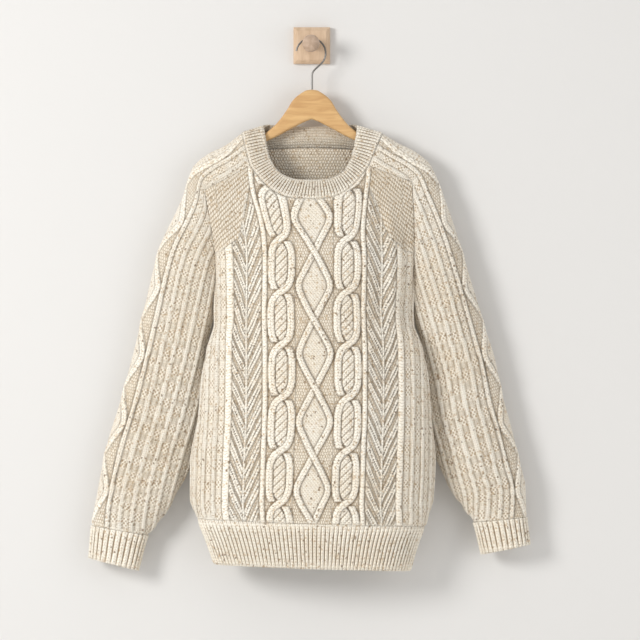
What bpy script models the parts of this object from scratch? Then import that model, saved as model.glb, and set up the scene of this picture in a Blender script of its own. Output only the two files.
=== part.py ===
"""Aran sweater hung flat on a wooden hanger, from a knob on a small wall plate.

Tables and sizes are in millimetres. Z is up, the garment faces -Y, and the wall is the plane Y = 0.
The origin is the middle of the wall plate's back face.
"""
import math

import bmesh
import bpy
import numpy as np

MM = 0.001

# Cloth
WALL = 3.0  # knitted wall without its relief
SEAM_HALF_GAP = 0.16  # each piece stops this far short of its seam line
UNDERARM_GAP = 0.5  # and a little more where four edges meet
UNDERARM_REACH = 20.0
CORNER_GAP = 0.45  # and where the strap's seam turns into the armhole
CORNER_REACH = 10.0
RELIEF_FADE = 9.0  # raised stitches die away this far from a seam

# Levels of the garment
HEM_SEAM = -741.0  # top of the hem rib at the middle
HEM_END = -811.0
HEM_SEAM_TILT = -6.5  # the hem hangs a little lower on the right
HEM_END_TILT = -5.5
UNDERARM = -412.0

# The body, a row for each level: where its sides, seams, front and back lie
BODY_COLUMNS = "level left right front_seam back_seam front back roundness".split()
BODY_ROWS = [
    (-826, -145, 150, -57, -57, -110, -13, 0.50),
    (-806, -150, 154, -57, -57, -114, -11, 0.50),
    (-770, -162, 165, -57, -57, -121, -10, 0.50),
    (-738, -175, 178, -57, -57, -129, -9, 0.50),
    (-704, -187, 187, -57, -57, -134, -8, 0.50),
    (-643, -186, 190, -57, -57, -134, -8, 0.50),
    (-580, -176, 185, -57, -57, -130, -8, 0.50),
    (-491, -165, 175, -57, -57, -123, -8, 0.50),
    (-460, -158, 167, -53, -53, -119, -8, 0.50),
    (-435, -150, 157, -44, -44, -116, -8, 0.50),
    (-412, -152, 158, -31, -31, -113, -8, 0.50),
    (-378, -149, 157, -42, -23, -108, -8, 0.55),
    (-338, -149, 158, -48, -18, -103, -8, 0.62),
    (-300, -153, 158, -52, -16, -96, -8, 0.70),
    (-265, -159, 158, -53, -15, -88, -9, 0.75),
    (-226, -165, 156, -52, -15, -77, -10, 0.80),
    (-189, -165, 155, -51, -15, -64, -12, 0.85),
    (-150, -165, 155, -50, -15, -52, -15, 0.90),
]

# The saddle shoulders and the neck, left and right
NECK_CORNER_X = {-1: -95.7, 1: 88.7}  # where strap, panel and neckband meet
SHOULDER_CORNER_X = {-1: -165.0, 1: 155.5}  # where strap seam and armhole meet
STRAP_SEAM_LEVEL = {  # levels of the strap's seam at the neck and at the armhole
    ("front", -1): (-189.0, -226.0),
    ("front", 1): (-189.0, -214.0),
    ("back", -1): (-165.0, -206.0),
    ("back", 1): (-165.0, -200.0),
}
FRONT_NECK_DROP = 52.0
FRONT_NECK_SQUARENESS = (3.0, 1.1)
BACK_NECK_DROP = -5.0

# The sleeves, a row for each section from the neck to the cuff's end
SLEEVE_COLUMNS = "outer_x outer_z inner_x inner_z back_z sweep front_depth back_depth line_y".split()
SLEEVE_LEFT_ROWS = [
    (-109, -138, -95.7, 0, 0, 90, 26, 17, -32),
    (-134, -157, -122, 0, 0, 90, 24, 17, -32),
    (-162, -171, -147, 0, 0, 93, 21, 17, -32),
    (-185, -192, -165, -226, -206, 97, 20, 17, -32),
    (-197, -229, -159, -265, -248, 110, 22, 19, -32),
    (-214, -267, -153, -301, -288, 125, 25, 21, -32),
    (-233, -307, -149, -338, -330, 142, 27, 23, -31),
    (-246, -350, -149, -378, -373, 160, 28, 24, -31),
    (-257, -397, -152, -412, -412, 180, 28, 24, -31),
    (-268, -443, -162, -460, -460, 180, 27, 24, -30),
    (-283, -502, -168, -528, -528, 180, 27, 24, -29),
    (-299, -560, -175, -590, -590, 180, 27, 24, -29),
    (-316, -614, -186, -645, -645, 180, 28, 24, -29),
    (-327, -663, -207, -691, -691, 180, 29, 24, -30),
    (-334, -702, -226, -725, -725, 180, 28, 24, -30),
    (-339, -728, -241, -745, -745, 180, 25, 22, -30),
    (-341, -747, -255, -762, -762, 180, 22, 20, -30),
    (-345, -798, -271, -817, -817, 180, 20, 19, -30),
]
SLEEVE_RIGHT_ROWS = [
    (110, -139, 88.7, 0, 0, 90, 26, 17, -32),
    (135, -154, 112, 0, 0, 90, 24, 17, -32),
    (159, -166, 136, 0, 0, 93, 21, 17, -32),
    (184, -187, 155.5, -214, -200, 97, 20, 17, -32),
    (199, -222, 158, -254, -242, 110, 22, 19, -32),
    (213, -258, 158, -291, -282, 125, 25, 21, -32),
    (227, -301, 158, -329, -325, 142, 28, 23, -31),
    (241, -347, 158, -372, -370, 160, 29, 24, -31),
    (255, -393, 158, -412, -412, 180, 29, 24, -31),
    (269, -440, 169, -460, -460, 180, 28, 24, -30),
    (284, -487, 174, -521, -521, 180, 27, 24, -29),
    (296, -544, 180, -580, -580, 180, 27, 24, -29),
    (310, -595, 190, -632, -632, 180, 28, 24, -29),
    (321, -642, 207, -673, -673, 180, 29, 24, -30),
    (332, -688, 226, -705, -705, 180, 28, 24, -30),
    (333, -716, 240, -724, -724, 180, 25, 22, -30),
    (333, -734, 252, -742, -742, 180, 22, 20, -30),
    (338, -777, 265, -792, -792, 180, 20, 19, -30),
]
CORNER_ROW = 3  # the row at the end of the strap
UNDERARM_ROW = 8
CUFF_ROW = 16
CUFF_END_ROW = 17

# The neckband's free edge on the left, from the front's middle over the shoulder to the back's
NECK_EDGE_COLUMNS = "station x y level".split()
NECK_EDGE_ROWS = [
    (0.00, 0.0, -71, -211),
    (0.18, -23, -70, -210),
    (0.36, -44, -67, -203),
    (0.58, -62, -60, -182),
    (0.80, -69.5, -50, -154),
    (1.00, -74, -33, -127),
    (1.30, -66, -22, -124),
    (1.60, -40, -17.5, -126),
    (2.00, 0.0, -16.5, -127),
]
NECK_EDGE_RIGHT_SCALE = 0.95
NECKBAND_RIB = 2.7  # half of the neckband's rib pitch
HEM_RIB_GROUPS = 30  # two ribs each, on the front and on the back
CUFF_RIB_GROUPS = 14

# The knitted pattern, in distances along the cloth from the middle line
DIAMOND_PERIOD = 104.5
DIAMOND_CROSSING = -323.0  # level of one crossing
DIAMOND_REACH = 24.0  # from the middle line to a band's middle at the widest
DIAMOND_LANE = 29.0
DIAMOND_LEAST = (2.5, 5.5, 10.0)  # least distances of a band's inner edge, middle and outer edge
DIAMOND_SHARPNESS = 0.96  # nearer 1, the diamond's corners are sharper
DIAMOND_INSIDE = 1.2  # height of the moss stitch inside it
BAND_HALF = 5.2
CABLE_MIDDLE = 51.0
CABLE_LANE = 73.0
CABLE_PERIOD = 81.4
CABLE_CROSSING = -384.4
CABLE_REACH = 16.0
CABLE_LEAST = 6.5
CABLE_SHARPNESS = 1.9  # nearer 0, the bands sway more gently
ROPE_HALF = 7.0
ROPE_SHARE = 0.85  # the rope's height over that of the bands beside it
NARROW_RIB = 77.0
TREE_START = 81.0
TREE_MIDDLE = 106.5
TREE_END = 133.0
SIDE_START = 142.0
SIDE_FLAT = 60.0  # the side ribs reach their full height where the sides are this wide
CORD_HEIGHT = 3.6  # cables and diamonds over the ground
RIB_HEIGHT = 2.2
TREE_HEIGHT = 1.8

CUFF_RIB_SHARE = 0.8  # ribs of the cuffs and neckband are lower than the hem's
NECK_RIB_SHARE = 0.7

# The largest soft folds, from their top to their low end; a ridge has a negative depth
FOLD_COLUMNS = "top_place top low_place low half_width depth".split()
FRONT_FOLDS = [  # places are distances from the middle line, and top and low are levels
    (-114, -225, -128, -465, 11, 4.5),
    (-146, -255, -150, -480, 10, -3.0),
    (105, -235, 103, -460, 9, 2.5),
    (122, -230, 124, -470, 9, -3.5),
    (148, -270, 150, -460, 9, 3.5),
    (40, -630, 72, -735, 16, 2.0),
    (-30, -590, -62, -735, 18, 2.0),
]
SLEEVE_FOLDS = {  # places are shares of the sleeve's half, and top and low are rows of its table
    -1: [
        (0.36, 6.0, 0.56, 14.0, 0.12, 2.5),
        (0.76, 4.5, 0.80, 10.5, 0.10, -2.0),
    ],
    1: [
        (0.82, 3.4, 0.82, 7.5, 0.10, -3.0),
        (0.45, 7.0, 0.45, 13.5, 0.10, -2.0),
        (0.78, 8.5, 0.80, 14.0, 0.10, 2.5),
    ],
}
FOLD_END = 0.25  # the share of a fold's length in which it dies away
FOLD_STEPS = 2  # and the rows or columns in which it does so towards a seam

# The mesh
BODY_ROWS_LOW = 22  # rows of faces from the hem seam to the underarm
BODY_ROWS_HIGH = 10  # and from there to the shoulder
SIDE_STEPS = 6
TOP_BLEND_ROWS = 5  # rows in which the columns lean towards their places on the neck and strap
CHEVRON_RISE = 11.0  # how far the tree's rows rise from its middle to its sides
STRAP_ROWS = 6
TUBE_ROWS = 16
SLEEVE_SIDE_COLUMNS = 8  # columns from the sleeve's diamond to its seam
SLEEVE_DIAMOND_SHARE = 0.62  # the most of the sleeve's half that the diamond takes
PANEL_STEP = 8.0  # a row or column counts as this far, where relief fades towards a seam
NARROW_STEP = 5.0

# Hanger, hook and wall plate
HANGER_Y = -32.0
HANGER_THICK = 12.0
HANGER_HALF_SPAN = 178.0
HANGER_GAP = 2.2
HANGER_TIP = 9.0  # length of the rounded tip
HANGER_NECK_BLEND = 24.0  # where the arms' top changes from its own curve to the shoulders' slope
HANGER_STEPS = 15
HANGER_SIDES = 8
HANGER_NECK = [(0, -70), (8, -71), (14, -74), (29, -86), (39, -102), (56, -124), (76, -141)]
HANGER_UNDERSIDE = [(0, -116), (8, -119), (31, -130.5), (60, -146), (109, -166), (150, -187), (178, -203)]
SHOULDER_SLOPE = 30.0
HOOK_WIRE = 1.4
HOOK_RADIUS = 22.9
HOOK_CENTRE = (-1.2, -13.2)
HOOK_START = 172.0  # degrees round the arc's centre, from its tip over the top
HOOK_END = -35.0
HOOK_SHANK_TOP = (0.5, -47.0)
HOOK_ARC_STEPS = 16
HOOK_BEND_STEPS = 8
HOOK_BEND_PULL = (26.0, 22.0)  # how strongly the bend below the arc follows the arc and the shank
KNOB_CENTRE = (-1.2, 0.8)
KNOB_STEM_RADIUS = 7.2
KNOB_RADIUS = 13.5
KNOB_NECK_Y = -41.0
KNOB_MIDDLE_Y = -51.0
KNOB_HALF_DEPTH = 10.5
KNOB_SWELL_START = -58.0  # degrees round the ball, from its neck to its tip
KNOB_SWELL_STEPS = 9
KNOB_SIDES = 18
PLATE_SIDE = 57.0
PLATE_THICK = 15.0
PLATE_BEVEL = 6.0
PART_GAP = 0.3


# Curves through the tables

def smooth(at, stations, values):
    """A smooth curve through the table's values, which never overshoots them."""
    stations = np.asarray(stations, float)
    values = np.asarray(values, float)
    step = np.diff(stations)
    slope = np.diff(values) / step
    product = slope[:-1] * slope[1:]
    total = np.where(product > 0, slope[:-1] + slope[1:], 1.0)
    tangent = np.concatenate([slope[:1], np.where(product > 0, 2 * product / total, 0.0), slope[-1:]])
    at = np.clip(np.asarray(at, float), stations[0], stations[-1])
    i = np.clip(np.searchsorted(stations, at, side="right") - 1, 0, len(step) - 1)
    t = (at - stations[i]) / step[i]
    rise = (3 - 2 * t) * t * t
    return (
        values[i] * (1 - rise)
        + values[i + 1] * rise
        + step[i] * t * (1 - t) * ((1 - t) * tangent[i] - t * tangent[i + 1])
    )


def table(columns, rows):
    return dict(zip(columns, np.array(rows, float).T))


BODY = table(BODY_COLUMNS, BODY_ROWS)
NECK_EDGE = table(NECK_EDGE_COLUMNS, NECK_EDGE_ROWS)
SLEEVES = {-1: table(SLEEVE_COLUMNS, SLEEVE_LEFT_ROWS), 1: table(SLEEVE_COLUMNS, SLEEVE_RIGHT_ROWS)}


def body(column, level):
    return smooth(level, BODY["level"], BODY[column])


# The body's surface: level sections, measured along the cloth from the middle line

ARC_LEVELS = np.linspace(-826.0, -150.0, 170)
ARC_SHARES = np.linspace(-1.0, 1.0, 121)


def section_point(face, angle, level):
    """A point of the front or back, where the angle runs from -90 degrees at the left side to 90."""
    left, right = body("left", level), body("right", level)
    seam, middle = body(face + "_seam", level), body(face, level)
    across = np.sin(angle)
    x = (left + right) / 2 + (right - left) / 2 * across
    y = seam + (middle - seam) * np.clip(1 - across * across, 0, 1) ** body("roundness", level)
    return np.stack(np.broadcast_arrays(x, y, level), axis=-1)


def arc_tables(face):
    """For each level, the half length of its section, and the angle at each share of it."""
    sweep = np.linspace(-np.pi / 2, np.pi / 2, 241)
    points = section_point(face, sweep[None, :], ARC_LEVELS[:, None])
    steps = np.linalg.norm(np.diff(points, axis=1), axis=2)
    along = np.concatenate([np.zeros((len(ARC_LEVELS), 1)), np.cumsum(steps, axis=1)], axis=1)
    half = along[:, -1] / 2
    along -= half[:, None]
    angles = np.array([np.interp(ARC_SHARES * h, a, sweep) for h, a in zip(half, along)])
    return half, angles


ARCS = {face: arc_tables(face) for face in ("front", "back")}


def half_length(face, level):
    """Half of the section's length, from the middle line to the side seam or armhole."""
    return np.interp(level, ARC_LEVELS, ARCS[face][0])


def body_point(face, along, level):
    """The point at a distance along the cloth from the middle line, at a level."""
    along, level = np.broadcast_arrays(np.asarray(along, float), np.asarray(level, float))
    angles = ARCS[face][1]
    row = np.clip((level - ARC_LEVELS[0]) / (ARC_LEVELS[1] - ARC_LEVELS[0]), 0, len(ARC_LEVELS) - 1.001)
    share = np.clip(along / half_length(face, level), -1, 1)
    column = np.clip((share + 1) / (ARC_SHARES[1] - ARC_SHARES[0]), 0, len(ARC_SHARES) - 1.001)
    r, c = row.astype(int), column.astype(int)
    fr, fc = row - r, column - c
    angle = (
        angles[r, c] * (1 - fr) * (1 - fc)
        + angles[r + 1, c] * fr * (1 - fc)
        + angles[r, c + 1] * (1 - fr) * fc
        + angles[r + 1, c + 1] * fr * fc
    )
    return section_point(face, angle, level)


def unit(vectors):
    return vectors / np.linalg.norm(vectors, axis=-1, keepdims=True)


def body_normal(face, along, level):
    """The outward direction of the body's surface."""
    d = 0.6
    half = half_length(face, level) - d
    along = np.clip(along, -half, half)
    across = body_point(face, along + d, level) - body_point(face, along - d, level)
    upward = body_point(face, along, level + d) - body_point(face, along, level - d)
    normal = unit(np.cross(across, upward))
    return normal if face == "front" else -normal


# The neckline and the strap seams, as levels over x

def strap_seam_level(face, side, x):
    start, end = NECK_CORNER_X[side], SHOULDER_CORNER_X[side]
    share = np.clip((x - start) / (end - start), 0, 1)
    high, low = STRAP_SEAM_LEVEL[face, side]
    return high + (low - high) * share


def neckline_level(face, x):
    left, right = NECK_CORNER_X[-1], NECK_CORNER_X[1]
    share = np.clip(abs((2 * x - left - right) / (right - left)), 0, 1)
    if face == "back":
        return STRAP_SEAM_LEVEL[face, 1][0] - BACK_NECK_DROP * (1 - share**2)
    power, root = FRONT_NECK_SQUARENESS
    return STRAP_SEAM_LEVEL[face, 1][0] - FRONT_NECK_DROP * (1 - share**power) ** root


def top_level(face, x):
    """Where a column of the panel that ends at x stops."""
    if NECK_CORNER_X[-1] <= x <= NECK_CORNER_X[1]:
        return float(neckline_level(face, x))
    return float(strap_seam_level(face, -1 if x < 0 else 1, x))


# The sleeve's surface, in rows from the neck and shares from the back seam (-1) to the front seam (1)

def sleeve(side, column, row):
    return smooth(row, np.arange(len(SLEEVES[side]["outer_x"])), SLEEVES[side][column])


def seam_point(face, side, row):
    """The seam's point on the body, along the strap, down the armhole and along the sleeve."""
    inner_x, line_y = sleeve(side, "inner_x", row), sleeve(side, "line_y", row)
    column = "inner_z" if face == "front" else "back_z"
    rows = np.arange(CORNER_ROW, CUFF_END_ROW + 1)
    level = smooth(row, rows, SLEEVES[side][column][CORNER_ROW:])
    on_strap = row < CORNER_ROW
    on_armhole = (row >= CORNER_ROW) & (row <= UNDERARM_ROW)
    level = np.where(on_strap, strap_seam_level(face, side, inner_x), level)
    edge = body("left" if side < 0 else "right", level)
    x = np.where(on_armhole, edge, inner_x)
    half = (body("right", level) - body("left", level)) / 2
    across = np.clip((x - (body("right", level) + body("left", level)) / 2) / half, -1, 1)
    on_body = section_point(face, np.arcsin(across), level)[..., 1]
    y = np.where(row <= UNDERARM_ROW, on_body, line_y)
    return np.stack(np.broadcast_arrays(x, y, level), axis=-1)


def shoulder_corners():
    return [seam_point(face, side, np.array(CORNER_ROW)) for face in ("front", "back") for side in (-1, 1)]


def sleeve_point(side, row, share):
    """A point of the sleeve: from its outer line it bends over the front or the back to the seam."""
    row, share = np.broadcast_arrays(np.asarray(row, float), np.asarray(share, float))
    outer = np.stack([sleeve(side, c, row) for c in ("outer_x", "line_y", "outer_z")], axis=-1)
    sweep = np.radians(sleeve(side, "sweep", row))
    angle = sweep * abs(share)
    toward = ((1 - np.cos(angle)) / (1 - np.cos(sweep)))[..., None]
    result = np.zeros(outer.shape)
    for face, sign in (("front", -1), ("back", 1)):
        seam = seam_point(face, side, row)
        depth = sleeve(side, face + "_depth", row) * sign
        point = outer + (seam - outer) * toward
        end = outer[..., 1] + depth * np.sin(sweep)
        point[..., 1] = outer[..., 1] + depth * np.sin(angle) + (seam[..., 1] - end) * share**2
        chosen = share >= 0 if face == "front" else share < 0
        result = np.where(chosen[..., None], point, result)
    return result


def sleeve_normal(side, row, share):
    d_row, d_share = 0.02, 0.01
    row = np.clip(row, d_row, CUFF_END_ROW - d_row)
    wrapped = row > UNDERARM_ROW
    before, after = share - d_share, share + d_share
    before = np.where(wrapped & (before < -1), before + 2, np.maximum(before, -1))
    after = np.where(wrapped & (after > 1), after - 2, np.minimum(after, 1))
    across = sleeve_point(side, row, after) - sleeve_point(side, row, before)
    down = sleeve_point(side, row + d_row, share) - sleeve_point(side, row - d_row, share)
    return unit(np.cross(across, down)) * side


# The raised pattern

def bump(distance, half_width):
    """A rounded cord's height over the ground, 1 at its middle."""
    return np.sqrt(np.clip(1 - (distance / half_width) ** 2, 0, 1))


def diamond_offset(level):
    """How far the first band lies to the right of the middle line; the second mirrors it."""
    phase = np.sin(np.pi * (level - DIAMOND_CROSSING) / DIAMOND_PERIOD)
    return DIAMOND_REACH * np.arcsin(DIAMOND_SHARPNESS * phase) / math.asin(DIAMOND_SHARPNESS)


def cable_offset(level):
    phase = np.sin(np.pi * (level - CABLE_CROSSING) / CABLE_PERIOD)
    return CABLE_REACH * np.tanh(CABLE_SHARPNESS * phase) / math.tanh(CABLE_SHARPNESS)


def diamond_columns(level):
    """Distances from the middle line of a band's inner edge, middle and outer edge."""
    offset = abs(diamond_offset(level))
    steps = (-BAND_HALF, 0, BAND_HALF)
    return [np.maximum(offset + step, least) for step, least in zip(steps, DIAMOND_LEAST)]


def diamond_relief(along, level):
    offset = diamond_offset(level)
    first, second = bump(along - offset, BAND_HALF), bump(along + offset, BAND_HALF)
    inside = np.clip((abs(offset) - abs(along)) / BAND_HALF, 0, 1)
    return np.maximum(CORD_HEIGHT * np.maximum(first, second), DIAMOND_INSIDE * inside)


def cable_relief(along, level):
    offset = cable_offset(level)
    first, second = bump(along - offset, BAND_HALF), bump(along + offset, BAND_HALF)
    rope = bump(along, ROPE_HALF) * np.clip(abs(offset) / CABLE_REACH * 2 - 1, 0, 1)
    return CORD_HEIGHT * np.maximum(np.maximum(first, second), ROPE_SHARE * rope)


def ease(value):
    value = np.clip(value, 0, 1)
    return value * value * (3 - 2 * value)


def fold_depth(place, height, rows):
    """How far the soft folds sink the cloth at each point of a grid, and nothing on its edges."""
    depth = np.zeros(place.shape)
    for row in rows:
        fold = dict(zip(FOLD_COLUMNS, row))
        share = (height - fold["top"]) / (fold["low"] - fold["top"])
        middle = fold["top_place"] + (fold["low_place"] - fold["top_place"]) * share
        ends = ease(share / FOLD_END) * ease((1 - share) / FOLD_END)
        depth += fold["depth"] * ends * np.exp(-(((place - middle) / fold["half_width"]) ** 2))
    row_count, column_count = place.shape
    from_ends = np.clip(steps_from_edge(row_count) / FOLD_STEPS, 0, 1)[:, None]
    from_sides = np.clip(steps_from_edge(column_count) / FOLD_STEPS, 0, 1)[None, :]
    return (depth * from_ends * from_sides)[..., None]


def seam_fade(distance):
    return np.clip(distance / RELIEF_FADE, 0, 1)


def steps_from_edge(count):
    """How many steps each row or column of a grid lies from the nearer edge."""
    return np.minimum(np.arange(count), np.arange(count)[::-1])


# Solids

def loops_of(faces):
    """The edge loops of an open mesh, each in the direction of its faces."""
    edges = {(a, b) for face in faces for a, b in zip(face, face[1:] + face[:1])}
    following = {a: b for a, b in sorted(edges) if (b, a) not in edges}
    loops = []
    while following:
        start = min(following)
        loop = [start]
        while following[loop[-1]] != start:
            loop.append(following.pop(loop[-1]))
        following.pop(loop[-1])
        loops.append(loop)
    return loops


def grid_faces(index, rows, columns):
    """Faces between the chosen rows and columns of a grid of vertex numbers."""
    faces = []
    for r0, r1 in zip(rows, rows[1:]):
        for c0, c1 in zip(columns, columns[1:]):
            corners = [index[r0][c0], index[r0][c1], index[r1][c1], index[r1][c0]]
            faces.append([v for k, v in enumerate(corners) if v != corners[k - 1]])
    return faces


def rim_faces(outer_loop, inner_set, shift):
    """Faces that close the wall between an outer edge loop and its coarser inner one."""
    count = len(outer_loop)
    marks = [i for i, v in enumerate(outer_loop) if v in inner_set]
    faces = []
    for start, end in zip(marks, marks[1:] + [marks[0] + count]):
        middle = (start + end + 1) // 2
        inner_start, inner_end = outer_loop[start] + shift, outer_loop[end % count] + shift
        for i in range(start, end):
            tip = inner_start if i < middle else inner_end
            faces.append([outer_loop[(i + 1) % count], outer_loop[i % count], tip])
        faces.append([inner_start, inner_end, outer_loop[middle % count]])
    return faces


def inward_of_seams(base, normals, loops):
    """For each point on an edge loop, the step that moves both of its edges inwards by 1."""
    inward = np.zeros(base.shape)
    for loop in loops:
        before, here, after = (base[np.roll(loop, shift)] for shift in (1, 0, -1))
        first = np.cross(normals[loop], unit(here - before))
        second = np.cross(normals[loop], unit(after - here))
        turn = 1 + (first * second).sum(axis=1, keepdims=True)
        inward[loop] = (first + second) / np.maximum(turn, 0.6)
    return inward


def collection_of(name):
    found = bpy.data.collections.get(name)
    if not found:
        found = bpy.data.collections.new(name)
        bpy.context.scene.collection.children.link(found)
    return found


def new_object(name, mesh, material):
    mesh.materials.append(material)
    made = bpy.data.objects.new(name, mesh)
    collection_of("aran_sweater").objects.link(made)
    return made


def cloth(name, base, normals, relief, inner_rows, inner_columns, material, closed_from=None, flip=False):
    """A knitted wall: relief on its outer points, and a plain inside on fewer rows and columns.

    closed_from is the first row that is a whole ring, whose last column is its first."""
    row_count, column_count = base.shape[:2]
    index = np.arange(row_count * column_count).reshape(row_count, column_count)
    if closed_from is not None:
        index[closed_from:, -1] = index[closed_from:, 0]
    index = index.tolist()
    outer_faces = grid_faces(index, list(range(row_count)), list(range(column_count)))
    plain_faces = grid_faces(index, inner_rows, inner_columns)
    if flip:
        outer_faces = [face[::-1] for face in outer_faces]
        plain_faces = [face[::-1] for face in plain_faces]
    base, normals, relief = base.reshape(-1, 3), normals.reshape(-1, 3), relief.reshape(-1, 1)
    shift = len(base)
    edges = loops_of(outer_faces)
    inward = inward_of_seams(base, normals, edges)
    near_underarm = np.exp(-(((base[:, 2:] - UNDERARM) / UNDERARM_REACH) ** 2))
    gap = SEAM_HALF_GAP + UNDERARM_GAP * near_underarm
    for corner in shoulder_corners():
        away = np.linalg.norm(base - corner, axis=1, keepdims=True)
        gap = gap + CORNER_GAP * np.exp(-((away / CORNER_REACH) ** 2))
    base = base + inward * gap - normals * UNDERARM_GAP * near_underarm
    points = np.concatenate([base + normals * relief, base - normals * WALL]) * MM
    inner_set = {v for face in plain_faces for v in face}
    faces = outer_faces + [[v + shift for v in face[::-1]] for face in plain_faces]
    for loop in edges:
        faces += rim_faces(loop, inner_set, shift)
    used = sorted({v for face in faces for v in face})
    number = {v: i for i, v in enumerate(used)}
    mesh = bpy.data.meshes.new(name)
    mesh.from_pydata([tuple(points[v]) for v in used], [], [[number[v] for v in face] for face in faces])
    mesh.validate()
    mesh.shade_smooth()
    return new_object(name, mesh, material)


# Front and back

def lane_columns(level, fine):
    """Distances of the right half's columns from the middle line at a level, and their kinds."""
    inner, middle, outer = diamond_columns(level)
    cable = np.maximum(abs(cable_offset(level)), CABLE_LEAST)
    half_way = [("valley", CABLE_MIDDLE - cable / 2)] if fine else []
    half_way_out = [("valley", CABLE_MIDDLE + cable / 2)] if fine else []
    return [
        ("cord", inner),
        ("cord", middle),
        ("cord", outer),
        ("valley", DIAMOND_LANE),
        ("cord", CABLE_MIDDLE - cable),
        *half_way,
        ("cord", CABLE_MIDDLE),
        *half_way_out,
        ("cord", CABLE_MIDDLE + cable),
        ("valley", CABLE_LANE),
        ("rib", NARROW_RIB),
        ("tree", TREE_START),
        ("tree", (TREE_START + TREE_MIDDLE) / 2),
        ("tree", TREE_MIDDLE),
        ("tree", (TREE_MIDDLE + TREE_END) / 2),
        ("tree", TREE_END),
        ("rib", (TREE_END + SIDE_START) / 2),
        ("valley", SIDE_START),
    ]


NECK_LANE = NARROW_RIB  # the column that ends at the neck's corner
PLACE_ROUNDS = 12  # rounds that settle where a point lies along the curved cloth
EDGE_ROUNDS = 4  # and where a column meets the sloping top edge
PANEL_INSIDE_STEP = 2  # the plain inside keeps every second row and column of a panel
RIB_INSIDE_STEP = 4  # and every fourth column of a rib


def along_at(face, x, level):
    """The distance from the middle line of the point with this x."""
    along = 0.0
    for _ in range(PLACE_ROUNDS):
        along += x - body_point(face, along, level)[0]
    return along


def top_along(face, side, lane, widest):
    """Where the column of a lane ends on the neckline or strap seam."""
    neck = abs(along_at(face, NECK_CORNER_X[side], STRAP_SEAM_LEVEL[face, side][0]))
    corner = float(half_length(face, STRAP_SEAM_LEVEL[face, side][1]))
    if lane <= NECK_LANE:
        return side * lane * neck / NECK_LANE
    return side * (neck + (corner - neck) * (lane - NECK_LANE) / (widest - NECK_LANE))


def hem_share(face, number, fine):
    """Where a column starts on the hem seam, as a share of the half section there."""
    lanes = lane_columns(np.array([HEM_SEAM]), fine)
    half = float(half_length(face, HEM_SEAM))
    outer = number - len(lanes)
    if number < 0:
        return 0.0
    if outer < 0:
        return float(np.asarray(lanes[number][1]).reshape(-1)[0]) / half
    return (SIDE_START + (half - SIDE_START) * (outer + 1) / SIDE_STEPS) / half


def panel_column(face, side, number, fine):
    """One column of the panel's grid: its distances along, its levels and its kind."""
    rows = np.arange(BODY_ROWS_LOW + BODY_ROWS_HIGH + 1)
    lanes = lane_columns(np.array([0.0]), fine)
    outer = number - len(lanes)
    widest = float(half_length(face, STRAP_SEAM_LEVEL[face, side][1]))
    if number < 0:
        kind, lane = "cord", 0.0
    elif outer < 0:
        kind, lane = lanes[number][0], float(np.asarray(lanes[number][1]).reshape(-1)[0])
    else:
        kind, lane = "side", SIDE_START + (widest - SIDE_START) * (outer + 1) / SIDE_STEPS
    end_along = top_along(face, side, lane, widest)
    on_edge = outer == SIDE_STEPS - 1
    end_x = body_point(face, end_along, STRAP_SEAM_LEVEL[face, side][1])[0]
    end_level = STRAP_SEAM_LEVEL[face, side][1] if on_edge else top_level(face, end_x)
    for _ in range(EDGE_ROUNDS):
        if not on_edge:
            end_x = body_point(face, end_along, end_level)[0]
            end_level = top_level(face, end_x)
    if number >= 0 and abs(lane - NECK_LANE) < 1e-6:
        end_level = STRAP_SEAM_LEVEL[face, side][0]
    start_level = HEM_SEAM + HEM_SEAM_TILT * side * hem_share(face, number, fine)
    low = start_level + (UNDERARM - start_level) * rows / BODY_ROWS_LOW
    high = UNDERARM + (end_level - UNDERARM) * (rows - BODY_ROWS_LOW) / BODY_ROWS_HIGH
    level = np.where(rows <= BODY_ROWS_LOW, low, high)
    if on_edge:
        armhole_rows = UNDERARM_ROW - (UNDERARM_ROW - CORNER_ROW) * (rows - BODY_ROWS_LOW) / BODY_ROWS_HIGH
        seam = seam_point(face, side, np.clip(armhole_rows, CORNER_ROW, UNDERARM_ROW))
        level = np.where(rows <= BODY_ROWS_LOW, low, seam[:, 2])
    if kind == "tree":
        spread = abs(lane - TREE_MIDDLE) / (TREE_END - TREE_MIDDLE)
        fade = np.clip(np.minimum(rows, (rows[-1] - rows) / 3) / 2, 0, 1)
        level = level + CHEVRON_RISE * (spread - 0.5) * fade
    half = half_length(face, level)
    if number < 0:
        along = np.zeros(len(rows))
    elif outer < 0:
        along = side * np.broadcast_to(lane_columns(level, fine)[number][1], rows.shape)
    else:
        along = side * (SIDE_START + (half - SIDE_START) * (outer + 1) / SIDE_STEPS)
    blend = np.clip((rows - rows[-1]) / TOP_BLEND_ROWS + 1, 0, 1)
    along = along + (end_along - along) * blend
    if on_edge:
        along = side * half
    return along, level, kind


def panel_grid(face, fine):
    """The whole grid of a panel, from its left edge to its right."""
    steps = len(lane_columns(np.array([0.0]), fine)) + SIDE_STEPS
    columns = [panel_column(face, -1, n, fine) for n in range(steps - 1, -1, -1)]
    columns.append(panel_column(face, 1, -1, fine))
    columns += [panel_column(face, 1, n, fine) for n in range(steps)]
    along = np.stack([c[0] for c in columns], axis=1)
    level = np.stack([c[1] for c in columns], axis=1)
    kinds = [c[2] for c in columns]
    return along, level, kinds


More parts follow.
